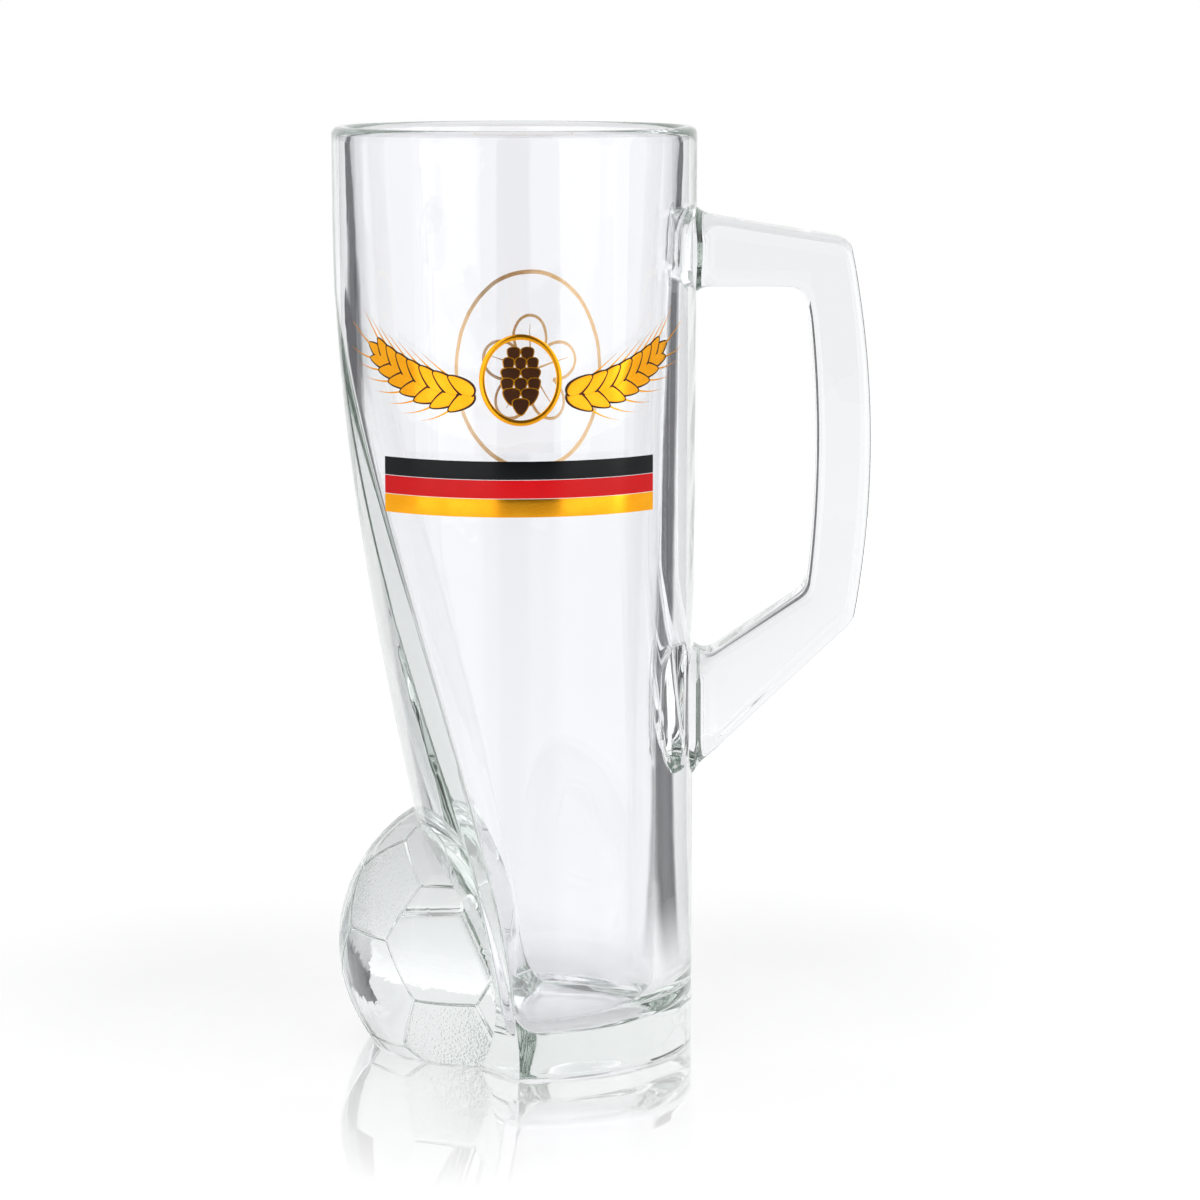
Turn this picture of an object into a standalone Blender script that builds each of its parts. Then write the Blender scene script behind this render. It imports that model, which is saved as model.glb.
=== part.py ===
# Half-litre pressed-glass beer mug with a glass football moulded at its foot.
# Metres, +Z up. The handle points along +X, the football along -X and the
# printed front faces -Y. The table is the plane z = 0.
import math

import bmesh
import bpy
from mathutils import Matrix

# Round wall of the vessel
HEIGHT = 0.2040
RIM_RADIUS = 0.0400
BASE_RADIUS = 0.0393
BASE_ROUND = 0.0008
LIP_ROUND = 0.0017
LIP_LAND = 0.0003

# Scooped face on the football side: a curve turned about an upright axis
# that stands on the handle side, so the face is gently convex across
SCOOP_AXIS_X = 0.0420
SCOOP_TOP_OUT = 0.0003
SCOOP_TOP_DROP = 0.0064
SCOOP_TOP_PULL = 0.0960
SCOOP_FOOT_X = -0.0149
SCOOP_FOOT_Z = 0.0040
SCOOP_FOOT_PULL = 0.0288

# Cavity, shaped by a plunger whose football side is turned about its own,
# more distant axis and so is flatter across
RIM_WALL = 0.0037
WAIST_WALL = 0.0080
WAIST_Z = 0.0700
WALL_BOW = 1.35
FLOOR_WALL = 0.0083
FLOOR_THICKNESS = 0.0070
FLOOR_ROUND = 0.0090
HOLLOW_AXIS_X = 0.0950
HOLLOW_TOP_OUT = 0.0005
HOLLOW_TOP_DROP = 0.0092
HOLLOW_TOP_PULL = 0.0602
HOLLOW_FOOT_WALL = 0.0100
HOLLOW_FOOT_PULL = 0.0405

# Football: twelve pentagons and twenty hexagons on a sphere cut flat below
BALL_RADIUS = 0.0358
BALL_X = -0.0045
BALL_Z = 0.0217
SEAM_HALF_WIDTH = 0.00045
SEAM_DEPTH = 0.00040
PANEL_ROWS = (0.09, 0.12)

# Handle, outlined from the side. Drops are measured down from the rim
FINGER_GAP = 0.0263
GRIP_WIDTH = 0.0119
GRIP_MID_DROP = 0.0700
GRIP_OUTER_SAG = 0.0048
GRIP_INNER_SAG = 0.0024
TOP_BAR_ROOT_DROP = 0.0188
TOP_BAR_END_DROP = 0.0244
TOP_BAR_UNDER_DROP = 0.0347
LOW_BAR_TOP_END_DROP = 0.1018
LOW_BAR_END_DROP = 0.1086
LOW_BAR_TOP_ROOT_DROP = 0.1159
LOW_BAR_ROOT_DROP = 0.1415
LOW_BAR_KNEE_OUT = 0.0034
KNEE_ROUND = 0.0015
HANDLE_THICKNESS = 0.0160
HANDLE_EDGE_ROUND = 0.0022
TOP_CORNER_ROUND = 0.0035
LOW_CORNER_ROUND = 0.0050
PALM_ROUND = 0.0050
CORNER_ROOM = 2.4
HANDLE_SINK = 0.0100

# Fired-on print, one thin layer for each motif
JOINT_GAP = 0.0003
PRINT_THICKNESS = 0.0002
MOTIF_S = 0.0020
MOTIF_DROP = 0.0520
EAR_LENGTH = 0.0250
EAR_WIDTH = 0.0130
EAR_GRAINS = 6
EAR_RISE = 0.0090
EAR_START = 0.0100
EAR_BELOW = 0.0030
EAR_LEAN = 0.0022
EAR_TAPER_DEG = (28.8, 176.4)
EAR_NOTCH = 0.42
RING_WIDTH = 0.0176
RING_HEIGHT = 0.0194
RING_LINE = 0.0012
CONE_HEIGHT = 0.0130
CONE_WIDTH = 0.0086
CONE_SCALES = 5
CONE_TAPER_DEG = (14.4, 169.2)
CONE_NOTCH = 0.72
STRIPE_LENGTH = 0.0640
STRIPE_HEIGHT = 0.0034
STRIPE_GAP = 0.0006
STRIPE_BELOW = 0.0175
FRAME_S = -0.0030
FRAME_DROP = 0.0585
FRAME_WIDTH = 0.0400
FRAME_HEIGHT = 0.0460
FRAME_LINE = 0.0010
LEAF_SIZE = 0.0130
LEAF_LOBES = 5
LEAF_NOTCH = 0.45
LEAF_LINE = 0.0011

# Colours: base colour, roughness, metal, clearness
CLEAR_GLASS = ((0.93, 0.95, 0.94), 0.02, 0.0, 1.0)
GOLD_LUSTRE = ((0.85, 0.52, 0.10), 0.25, 1.0, 0.0)
PALE_LUSTRE = ((0.86, 0.66, 0.30), 0.30, 1.0, 0.0)
BROWN_ENAMEL = ((0.16, 0.06, 0.02), 0.30, 0.0, 0.0)
BLACK_ENAMEL = ((0.010, 0.012, 0.014), 0.30, 0.0, 0.0)
RED_ENAMEL = ((0.72, 0.010, 0.015), 0.30, 0.0, 0.0)

# Facets round the wall, round the scoop and along its curves
STEPS = 112
SCOOP_STEPS = 128
SCOOP_ROWS = 20
HOLLOW_ROWS = 18
WALL_ROWS = 4
TAPER_ROWS = 6
OVAL_STEPS = 52
CUT_MARGIN = 0.0100
MERGE = 0.000005

# Heights and places that follow from the sizes above
GRIP_INNER_X = RIM_RADIUS + FINGER_GAP
GRIP_OUTER_X = GRIP_INNER_X + GRIP_WIDTH
GRIP_MID_Z = HEIGHT - GRIP_MID_DROP
TOP_BAR_ROOT_Z = HEIGHT - TOP_BAR_ROOT_DROP
TOP_BAR_END_Z = HEIGHT - TOP_BAR_END_DROP
TOP_BAR_UNDER_Z = HEIGHT - TOP_BAR_UNDER_DROP
LOW_BAR_TOP_END_Z = HEIGHT - LOW_BAR_TOP_END_DROP
LOW_BAR_END_Z = HEIGHT - LOW_BAR_END_DROP
LOW_BAR_TOP_ROOT_Z = HEIGHT - LOW_BAR_TOP_ROOT_DROP
LOW_BAR_ROOT_Z = HEIGHT - LOW_BAR_ROOT_DROP
MOTIF_Z = HEIGHT - MOTIF_DROP
FRAME_Z = HEIGHT - FRAME_DROP
FRONT = 1.0
BACK = -1.0


def fresh_scene():
    """Empty the scene and add one collection for parts and one for cutters."""
    for old in list(bpy.data.objects):
        bpy.data.objects.remove(old, do_unlink=True)
    parts = bpy.data.collections.new("beer_mug")
    cutters = bpy.data.collections.new("cutters")
    bpy.context.scene.collection.children.link(parts)
    bpy.context.scene.collection.children.link(cutters)
    return parts, cutters


PARTS, CUTTERS = fresh_scene()


def paint(obj, look):
    """Give a piece its own Principled material."""
    colour, rough, metal, clear = look
    mat = bpy.data.materials.new(obj.name)
    mat.use_nodes = True
    bsdf = mat.node_tree.nodes["Principled BSDF"]
    bsdf.inputs["Base Color"].default_value = (*colour, 1.0)
    bsdf.inputs["Roughness"].default_value = rough
    bsdf.inputs["Metallic"].default_value = metal
    bsdf.inputs["Transmission Weight"].default_value = clear
    obj.data.materials.append(mat)


def place(name, mesh, cutter=False):
    """Put a mesh in the scene under its own name."""
    obj = bpy.data.objects.new(name, mesh)
    if cutter:
        CUTTERS.objects.link(obj)
        obj.hide_render = True
        obj.display_type = "WIRE"
    else:
        PARTS.objects.link(obj)
    return obj


def boolean(obj, other, operation):
    """Add an exact Boolean."""
    mod = obj.modifiers.new(operation.lower(), "BOOLEAN")
    mod.operation = operation
    mod.solver = "EXACT"
    mod.object = other


def turned(name, profile, steps, axis_x=0.0, closed=False, cutter=False):
    """Turn a profile of (radius, height) points about an upright axis."""
    mesh = bpy.data.meshes.new(name)
    count = len(profile)
    edges = [(i, i + 1) for i in range(count - 1)]
    if closed:
        edges.append((count - 1, 0))
    mesh.from_pydata([(r, 0.0, z) for r, z in profile], edges, [])
    obj = place(name, mesh, cutter)
    obj.location.x = axis_x
    mod = obj.modifiers.new("turn", "SCREW")
    mod.angle = 2.0 * math.pi
    mod.steps = steps
    mod.render_steps = steps
    mod.use_merge_vertices = True
    mod.merge_threshold = MERGE
    mod.use_normal_calculate = False
    return obj


def flat_curve(name, loops):
    """A filled flat curve from closed loops of (x, z)."""
    curve = bpy.data.curves.new(name, "CURVE")
    curve.dimensions = "2D"
    curve.fill_mode = "BOTH"
    for loop in loops:
        spline = curve.splines.new("POLY")
        spline.points.add(len(loop) - 1)
        for point, (x, z) in zip(spline.points, loop):
            point.co = (x, z, 0.0, 1.0)
        spline.use_cyclic_u = True
    return curve


def solid_from_curve(name, curve, y_mid):
    """Make a curve drawn in (x, z) into a clean closed mesh standing upright."""
    temp = bpy.data.objects.new(name + "_curve", curve)
    bpy.context.scene.collection.objects.link(temp)
    bpy.context.view_layer.update()
    graph = bpy.context.evaluated_depsgraph_get()
    mesh = bpy.data.meshes.new_from_object(temp.evaluated_get(graph))
    bpy.data.objects.remove(temp, do_unlink=True)
    mesh.transform(Matrix.Translation((0.0, y_mid, 0.0)) @ Matrix.Rotation(math.pi / 2.0, 4, "X"))
    bm = bmesh.new()
    bm.from_mesh(mesh)
    bmesh.ops.remove_doubles(bm, verts=bm.verts, dist=MERGE)
    bmesh.ops.recalc_face_normals(bm, faces=bm.faces)
    bm.to_mesh(mesh)
    bm.free()
    mesh.name = name
    return mesh


def arc(cx, cz, radius, start, end, count):
    """Points on an arc, angles in degrees."""
    turn = [math.radians(start + (end - start) * i / count) for i in range(count + 1)]
    return [(cx + radius * math.cos(a), cz + radius * math.sin(a)) for a in turn]


def rounded(points, count=6):
    """Round the corners of a loop of (x, z, radius) points."""
    out = []
    total = len(points)
    for i, (x, z, radius) in enumerate(points):
        if radius <= 0.0:
            out.append((x, z))
            continue
        ax, az, _ = points[i - 1]
        bx, bz, _ = points[(i + 1) % total]
        la = math.hypot(ax - x, az - z)
        lb = math.hypot(bx - x, bz - z)
        ua = ((ax - x) / la, (az - z) / la)
        ub = ((bx - x) / lb, (bz - z) / lb)
        half = math.acos(max(-1.0, min(1.0, ua[0] * ub[0] + ua[1] * ub[1]))) / 2.0
        reach = min(radius / math.tan(half), 0.45 * la, 0.45 * lb)
        for k in range(count + 1):
            t = k / count
            p = (1 - t) ** 2
            q = 2 * t * (1 - t)
            s = t * t
            out.append((
                p * (x + ua[0] * reach) + q * x + s * (x + ub[0] * reach),
                p * (z + ua[1] * reach) + q * z + s * (z + ub[1] * reach),
            ))
    return out


def sweep_curve(top, top_pull, foot_pull, foot, count):
    """S-shaped curve, upright at both ends, from top to foot."""
    out = []
    for i in range(count + 1):
        t = i / count
        u = 1.0 - t
        near = u * u * (u + 3 * t)
        far = t * t * (t + 3 * u)
        x = near * top[0] + far * foot[0]
        z = near * top[1] + far * foot[1] - 3 * u * u * t * top_pull + 3 * u * t * t * foot_pull
        out.append((x, z))
    return out


def wall_radius(z):
    """Outside radius of the round wall at a height."""
    return BASE_RADIUS + (RIM_RADIUS - BASE_RADIUS) * z / HEIGHT


def wall_profile(grow):
    """Outside profile of the vessel, grown outwards for a fit."""
    lip = arc(RIM_RADIUS - LIP_ROUND, HEIGHT - LIP_ROUND, LIP_ROUND + grow, 90.0, 0.0, 5)
    foot = arc(BASE_RADIUS - BASE_ROUND, BASE_ROUND, BASE_ROUND + grow, 0.0, -90.0, 3)
    heights = [HEIGHT * k / WALL_ROWS for k in range(WALL_ROWS - 1, 0, -1)]
    mid = [(wall_radius(z) + grow, z) for z in heights]
    return [(0.0, HEIGHT + grow)] + lip + mid + foot + [(0.0, -grow)]


def scoop_profile(grow):
    """Outside profile of the turned envelope whose near side is the scoop."""
    top = (-RIM_RADIUS - SCOOP_TOP_OUT, HEIGHT - SCOOP_TOP_DROP)
    foot = (SCOOP_FOOT_X, SCOOP_FOOT_Z)
    line = sweep_curve(top, SCOOP_TOP_PULL, SCOOP_FOOT_PULL, foot, SCOOP_ROWS)
    return envelope([(SCOOP_AXIS_X - x + grow, z) for x, z in line], HEIGHT + CUT_MARGIN, -CUT_MARGIN)


def hollow_profile():
    """Envelope of the plunger on the football side, opening out to clear the lip."""
    cavity_rim = RIM_RADIUS - RIM_WALL
    top = (-cavity_rim - HOLLOW_TOP_OUT, HEIGHT - HOLLOW_TOP_DROP)
    foot = (SCOOP_FOOT_X + HOLLOW_FOOT_WALL, FLOOR_THICKNESS)
    line = sweep_curve(top, HOLLOW_TOP_PULL, HOLLOW_FOOT_PULL, foot, HOLLOW_ROWS)
    lip = (-RIM_RADIUS - HOLLOW_TOP_OUT, HEIGHT)
    return envelope([(HOLLOW_AXIS_X - x, z) for x, z in [lip] + line], HEIGHT + 2.0 * CUT_MARGIN, -CUT_MARGIN)


def envelope(line, high, low):
    """Close a line of (radius, height) points into a profile from axis to axis."""
    return [(0.0, high), (line[0][0], high)] + line + [(line[-1][0], low), (0.0, low)]


def plunger_profile():
    """Profile of the round plunger, with a flare that leaves a rounded lip."""
    rim = RIM_RADIUS - RIM_WALL
    waist = BASE_RADIUS - WAIST_WALL
    floor = BASE_RADIUS - FLOOR_WALL
    flare_r = RIM_RADIUS - LIP_ROUND - LIP_LAND
    drop = flare_r - rim
    flare = arc(flare_r, HEIGHT - drop, -drop, -90.0, 0.0, 5)
    taper = []
    for k in range(1, TAPER_ROWS):
        t = k / TAPER_ROWS
        z = (HEIGHT - drop) * (1 - t) + WAIST_Z * t
        taper.append((waist + (rim - waist) * (1 - t) ** WALL_BOW, z))
    taper.append((waist, WAIST_Z))
    corner = arc(floor - FLOOR_ROUND, FLOOR_THICKNESS + FLOOR_ROUND, FLOOR_ROUND, 0.0, -90.0, 6)
    head = [(0.0, HEIGHT + CUT_MARGIN), (flare_r, HEIGHT + CUT_MARGIN)]
    return head + flare + taper + corner + [(0.0, FLOOR_THICKNESS)]


def glass_body():
    """Pressed vessel: round wall, scooped side, plunger cavity."""
    body = turned("glass_body", wall_profile(0.0), STEPS)
    scoop = turned("scoop_envelope", scoop_profile(0.0), SCOOP_STEPS, SCOOP_AXIS_X, cutter=True)
    plunger = turned("plunger", plunger_profile(), STEPS, cutter=True)
    hollow = turned("plunger_envelope", hollow_profile(), SCOOP_STEPS, HOLLOW_AXIS_X, cutter=True)
    boolean(plunger, hollow, "INTERSECT")
    boolean(body, scoop, "INTERSECT")
    boolean(body, plunger, "DIFFERENCE")
    paint(body, CLEAR_GLASS)


def football_mesh():
    """A whole football: panels with a groove sunk along every seam."""
    bm = bmesh.new()
    sunk = bm.verts.layers.float.new("sunk")
    bmesh.ops.create_icosphere(bm, subdivisions=1, radius=BALL_RADIUS)
    edge = bm.edges[:][0].calc_length()
    bmesh.ops.bevel(
        bm, geom=bm.verts[:], offset=edge / 3.0, offset_type="OFFSET", affect="VERTICES", segments=1,
        clamp_overlap=False
    )
    bmesh.ops.remove_doubles(bm, verts=bm.verts, dist=SEAM_HALF_WIDTH)
    corners = bm.verts[:]
    around = set(bm.edges[:])
    panels = bm.faces[:]
    for width in [SEAM_HALF_WIDTH] + [BALL_RADIUS * share for share in PANEL_ROWS]:
        bmesh.ops.inset_individual(bm, faces=panels, thickness=width, use_even_offset=True)
        for panel in panels:
            around.update(panel.edges)
    bmesh.ops.poke(bm, faces=panels)
    for vert in corners:
        vert[sunk] = 1.0
    bmesh.ops.subdivide_edges(bm, edges=list(around), cuts=3, use_grid_fill=True)
    for vert in bm.verts:
        vert.co = vert.co.normalized() * (BALL_RADIUS - SEAM_DEPTH * round(vert[sunk]))
    bmesh.ops.triangulate(bm, faces=bm.faces[:])
    bmesh.ops.translate(bm, verts=bm.verts, vec=(BALL_X, 0.0, BALL_Z))
    bmesh.ops.recalc_face_normals(bm, faces=bm.faces)
    mesh = bpy.data.meshes.new("football_foot")
    bm.to_mesh(mesh)
    bm.free()
    return mesh


def table_block():
    """A block that fills the space under the table plane below the football."""
    bm = bmesh.new()
    bmesh.ops.create_cube(bm, size=4.0 * BALL_RADIUS)
    bmesh.ops.translate(bm, verts=bm.verts, vec=(BALL_X, 0.0, -2.0 * BALL_RADIUS))
    mesh = bpy.data.meshes.new("table_trim")
    bm.to_mesh(mesh)
    bm.free()
    return place("table_trim", mesh, cutter=True)


def football_foot():
    """Solid glass football, trimmed to the scooped wall and to the table."""
    ball = place("football_foot", football_mesh())
    seat = turned("football_seat", wall_profile(JOINT_GAP), STEPS, cutter=True)
    face = turned("football_seat_scoop", scoop_profile(JOINT_GAP), SCOOP_STEPS, SCOOP_AXIS_X, cutter=True)
    boolean(seat, face, "INTERSECT")
    boolean(ball, seat, "DIFFERENCE")
    boolean(ball, table_block(), "DIFFERENCE")
    paint(ball, CLEAR_GLASS)


def bowed(x_mid, sag, z_end, z_from, z_to, count):
    """Upright line of the grip, bowed so that it falls back by the sag at z_end."""
    zs = [z_from + (z_to - z_from) * i / count for i in range(count + 1)]
    return [(bow_x(x_mid, sag, z_end, z), z) for z in zs]


def bow_x(x_mid, sag, z_end, z):
    """Where the bowed line lies at a height."""
    return x_mid - sag * ((z - GRIP_MID_Z) / (z_end - GRIP_MID_Z)) ** 2


def handle_outline():
    """Side outline of the handle, clockwise from the upper root."""
    outer_line = (GRIP_OUTER_X, GRIP_OUTER_SAG, TOP_BAR_END_Z)
    inner_line = (GRIP_INNER_X, GRIP_INNER_SAG, TOP_BAR_UNDER_Z)
    edge_top_x = bow_x(*outer_line, TOP_BAR_END_Z)
    edge_low_x = bow_x(*outer_line, LOW_BAR_END_Z)
    palm_top_x = bow_x(*inner_line, TOP_BAR_UNDER_Z)
    palm_low_x = bow_x(*inner_line, LOW_BAR_TOP_END_Z)
    slope = (TOP_BAR_ROOT_Z - TOP_BAR_END_Z) / (edge_top_x - RIM_RADIUS)
    fall = (LOW_BAR_END_Z - LOW_BAR_ROOT_Z) / (edge_low_x - RIM_RADIUS)
    end_x = RIM_RADIUS - HANDLE_SINK
    outer = bowed(
        *outer_line, TOP_BAR_END_Z - CORNER_ROOM * TOP_CORNER_ROUND,
        LOW_BAR_END_Z + CORNER_ROOM * LOW_CORNER_ROUND, 10
    )
    inner = bowed(
        *inner_line, LOW_BAR_TOP_END_Z + CORNER_ROOM * LOW_CORNER_ROUND,
        TOP_BAR_UNDER_Z - CORNER_ROOM * PALM_ROUND, 8
    )
    points = [(end_x, TOP_BAR_ROOT_Z + slope * HANDLE_SINK, 0.0)]
    points.append((edge_top_x, TOP_BAR_END_Z, TOP_CORNER_ROUND))
    points += [(x, z, 0.0) for x, z in outer]
    points.append((edge_low_x, LOW_BAR_END_Z, LOW_CORNER_ROUND))
    points.append((end_x, LOW_BAR_ROOT_Z - fall * HANDLE_SINK, 0.0))
    points.append((end_x, LOW_BAR_TOP_ROOT_Z, 0.0))
    points.append((RIM_RADIUS + LOW_BAR_KNEE_OUT, LOW_BAR_TOP_ROOT_Z, KNEE_ROUND))
    points.append((palm_low_x, LOW_BAR_TOP_END_Z, LOW_CORNER_ROUND))
    points += [(x, z, 0.0) for x, z in inner]
    points.append((palm_top_x, TOP_BAR_UNDER_Z, PALM_ROUND))
    points.append((end_x, TOP_BAR_UNDER_Z, 0.0))
    return rounded(points)


def handle():
    """Applied strap handle with rounded edges, its ends fitted to the wall."""
    curve = flat_curve("handle", [handle_outline()])
    curve.extrude = HANDLE_THICKNESS / 2.0 - HANDLE_EDGE_ROUND
    curve.bevel_depth = HANDLE_EDGE_ROUND
    curve.bevel_resolution = 2
    curve.offset = -HANDLE_EDGE_ROUND
    obj = place("handle", solid_from_curve("handle", curve, 0.0))
    seat = turned("handle_seat", wall_profile(JOINT_GAP), STEPS, cutter=True)
    boolean(obj, seat, "DIFFERENCE")
    paint(obj, CLEAR_GLASS)


def wrapped(points, side):
    """Turn (distance round the wall, height) into the (x, z) seen square on."""
    return [(wall_radius(z) * math.sin(side * s / wall_radius(z)), z) for s, z in points]


def printed(name, loops, side, look):
    """A thin layer on the round wall, in the shape of closed loops."""
    zs = [z for loop in loops for _, z in loop]
    low = min(zs) - CUT_MARGIN
    high = max(zs) + CUT_MARGIN
    near = JOINT_GAP
    far = JOINT_GAP + PRINT_THICKNESS
    ring = [
        (wall_radius(high) + far, high),
        (wall_radius(low) + far, low),
        (wall_radius(low) + near, low),
        (wall_radius(high) + near, high),
    ]
    layer = turned(name, ring, STEPS, closed=True)
    depth = RIM_RADIUS + CUT_MARGIN
    curve = flat_curve(name + "_stencil", [wrapped(loop, side) for loop in loops])
    curve.extrude = depth / 2.0
    mesh = solid_from_curve(name + "_stencil", curve, -side * depth / 2.0)
    boolean(layer, place(name + "_stencil", mesh, cutter=True), "INTERSECT")
    paint(layer, look)


def oval(cs, cz, width, height):
    """Points of an oval."""
    turn = [2.0 * math.pi * i / OVAL_STEPS for i in range(OVAL_STEPS)]
    return [(cs + width / 2.0 * math.cos(a), cz + height / 2.0 * math.sin(a)) for a in turn]


def band(cs, cz, width, height, line):
    """An oval line of even width."""
    inside = oval(cs, cz, width - 2.0 * line, height - 2.0 * line)
    return [oval(cs, cz, width, height), inside[::-1]]


def swell(span, t, power):
    """Width along a motif: a piece of a half wave, given by its two end angles."""
    return math.sin(math.radians(span[0] + (span[1] - span[0]) * t)) ** power


def scallop(count, t, notch, power):
    """Width factor that dips to the notch between neighbouring lobes."""
    return notch + (1.0 - notch) * abs(math.sin(math.pi * count * t)) ** power


def ear(direction):
    """Barley ear lying to one side: a rising spine with scalloped grains."""
    upper = []
    lower = []
    count = EAR_GRAINS * 6
    for i in range(count + 1):
        t = i / count
        grain = scallop(EAR_GRAINS, t, EAR_NOTCH, 0.6)
        half = EAR_WIDTH / 2.0 * swell(EAR_TAPER_DEG, t, 0.7) * grain
        lean = EAR_LEAN * (grain - EAR_NOTCH) / (1.0 - EAR_NOTCH)
        s = MOTIF_S + direction * (EAR_START + EAR_LENGTH * t + lean)
        z = MOTIF_Z - EAR_BELOW + EAR_RISE * t * t
        upper.append((s, z + half))
        lower.append((s, z - half))
    return upper + lower[::-1]


def hop_cone():
    """Hop cone with scalloped sides."""
    right = []
    left = []
    count = CONE_SCALES * 5
    for i in range(count + 1):
        t = i / count
        half = CONE_WIDTH / 2.0 * swell(CONE_TAPER_DEG, t, 0.6) * scallop(CONE_SCALES, t, CONE_NOTCH, 0.7)
        z = MOTIF_Z + CONE_HEIGHT * (t - 0.5)
        right.append((MOTIF_S + half, z))
        left.append((MOTIF_S - half, z))
    return right + left[::-1]


def leaf(size):
    """Lobed hop leaf."""
    out = []
    count = LEAF_LOBES * 12
    for i in range(count):
        a = 2.0 * math.pi * i / count
        lobe = abs(math.cos(LEAF_LOBES * (a - math.pi / 2.0) / 2.0)) ** 0.7
        r = size * (LEAF_NOTCH + (1.0 - LEAF_NOTCH) * lobe)
        out.append((FRAME_S + r * math.cos(a), FRAME_Z + r * math.sin(a)))
    return out


def stripe(place_down):
    """Straight stripe with square ends, counted down from the top one."""
    count = 16
    top = MOTIF_Z - STRIPE_BELOW - place_down * (STRIPE_HEIGHT + STRIPE_GAP)
    line = [MOTIF_S + STRIPE_LENGTH * (i / count - 0.5) for i in range(count + 1)]
    return [(s, top) for s in line] + [(s, top - STRIPE_HEIGHT) for s in line[::-1]]


def prints():
    """All print layers, front and back."""
    ring = band(MOTIF_S, MOTIF_Z, RING_WIDTH, RING_HEIGHT, RING_LINE)
    frame = band(FRAME_S, FRAME_Z, FRAME_WIDTH, FRAME_HEIGHT, FRAME_LINE)
    printed("front_barley_left", [ear(-1.0)], FRONT, GOLD_LUSTRE)
    printed("front_barley_right", [ear(1.0)], FRONT, GOLD_LUSTRE)
    printed("front_ring", ring, FRONT, GOLD_LUSTRE)
    printed("front_hop_cone", [hop_cone()], FRONT, BROWN_ENAMEL)
    printed("stripe_black", [stripe(0)], FRONT, BLACK_ENAMEL)
    printed("stripe_red", [stripe(1)], FRONT, RED_ENAMEL)
    printed("stripe_gold", [stripe(2)], FRONT, GOLD_LUSTRE)
    printed("back_oval_frame", frame, BACK, PALE_LUSTRE)
    printed("back_hop_leaf", [leaf(LEAF_SIZE), leaf(LEAF_SIZE - LEAF_LINE)[::-1]], BACK, PALE_LUSTRE)


glass_body()
football_foot()
handle()
prints()
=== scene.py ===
"""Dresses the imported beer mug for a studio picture: one skin of clear pressed
glass with its football foot and welded handle, the fired-on print, a pale
floor and soft studio light."""
import math

import bmesh
import bpy
import numpy as np
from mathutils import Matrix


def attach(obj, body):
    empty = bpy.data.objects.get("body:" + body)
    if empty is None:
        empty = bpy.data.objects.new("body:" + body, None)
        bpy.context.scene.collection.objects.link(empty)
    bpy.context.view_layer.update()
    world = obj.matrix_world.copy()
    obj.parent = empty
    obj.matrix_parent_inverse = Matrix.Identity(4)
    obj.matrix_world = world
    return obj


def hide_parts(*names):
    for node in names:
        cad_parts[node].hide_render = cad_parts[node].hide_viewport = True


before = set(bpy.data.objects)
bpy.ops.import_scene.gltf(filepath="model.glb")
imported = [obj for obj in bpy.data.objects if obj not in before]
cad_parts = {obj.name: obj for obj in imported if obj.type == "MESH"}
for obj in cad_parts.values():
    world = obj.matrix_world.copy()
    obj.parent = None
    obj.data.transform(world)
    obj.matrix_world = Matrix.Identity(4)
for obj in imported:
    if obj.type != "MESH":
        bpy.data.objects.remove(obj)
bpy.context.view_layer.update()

bl_info = {
    "name": "Pressed-glass beer mug",
    "version": (1, 0, 0),
    "blender": (4, 5, 0),
    "location": "View3D > Sidebar > Mug",
    "description": "Builds a half-litre mug with a football foot, its print and its studio",
    "category": "Add Mesh",
}


def linear(code):
    """Turn an sRGB hex code into linear red, green and blue."""
    srgb = np.array([int(code[i:i + 2], 16) for i in (1, 3, 5)]) / 255.0
    low = srgb / 12.92
    high = ((srgb + 0.055) / 1.055) ** 2.4
    return tuple(float(c) for c in np.where(srgb <= 0.04045, low, high))


def length(name, default, note):
    """A size in metres."""
    return bpy.props.FloatProperty(
        name=name, description=note, default=default, unit="LENGTH", precision=5
    )


def tint(name, code, note):
    """A colour given as an sRGB hex code."""
    return bpy.props.FloatVectorProperty(
        name=name, description=note, default=linear(code), subtype="COLOR", size=3, min=0.0, max=1.0
    )


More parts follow.
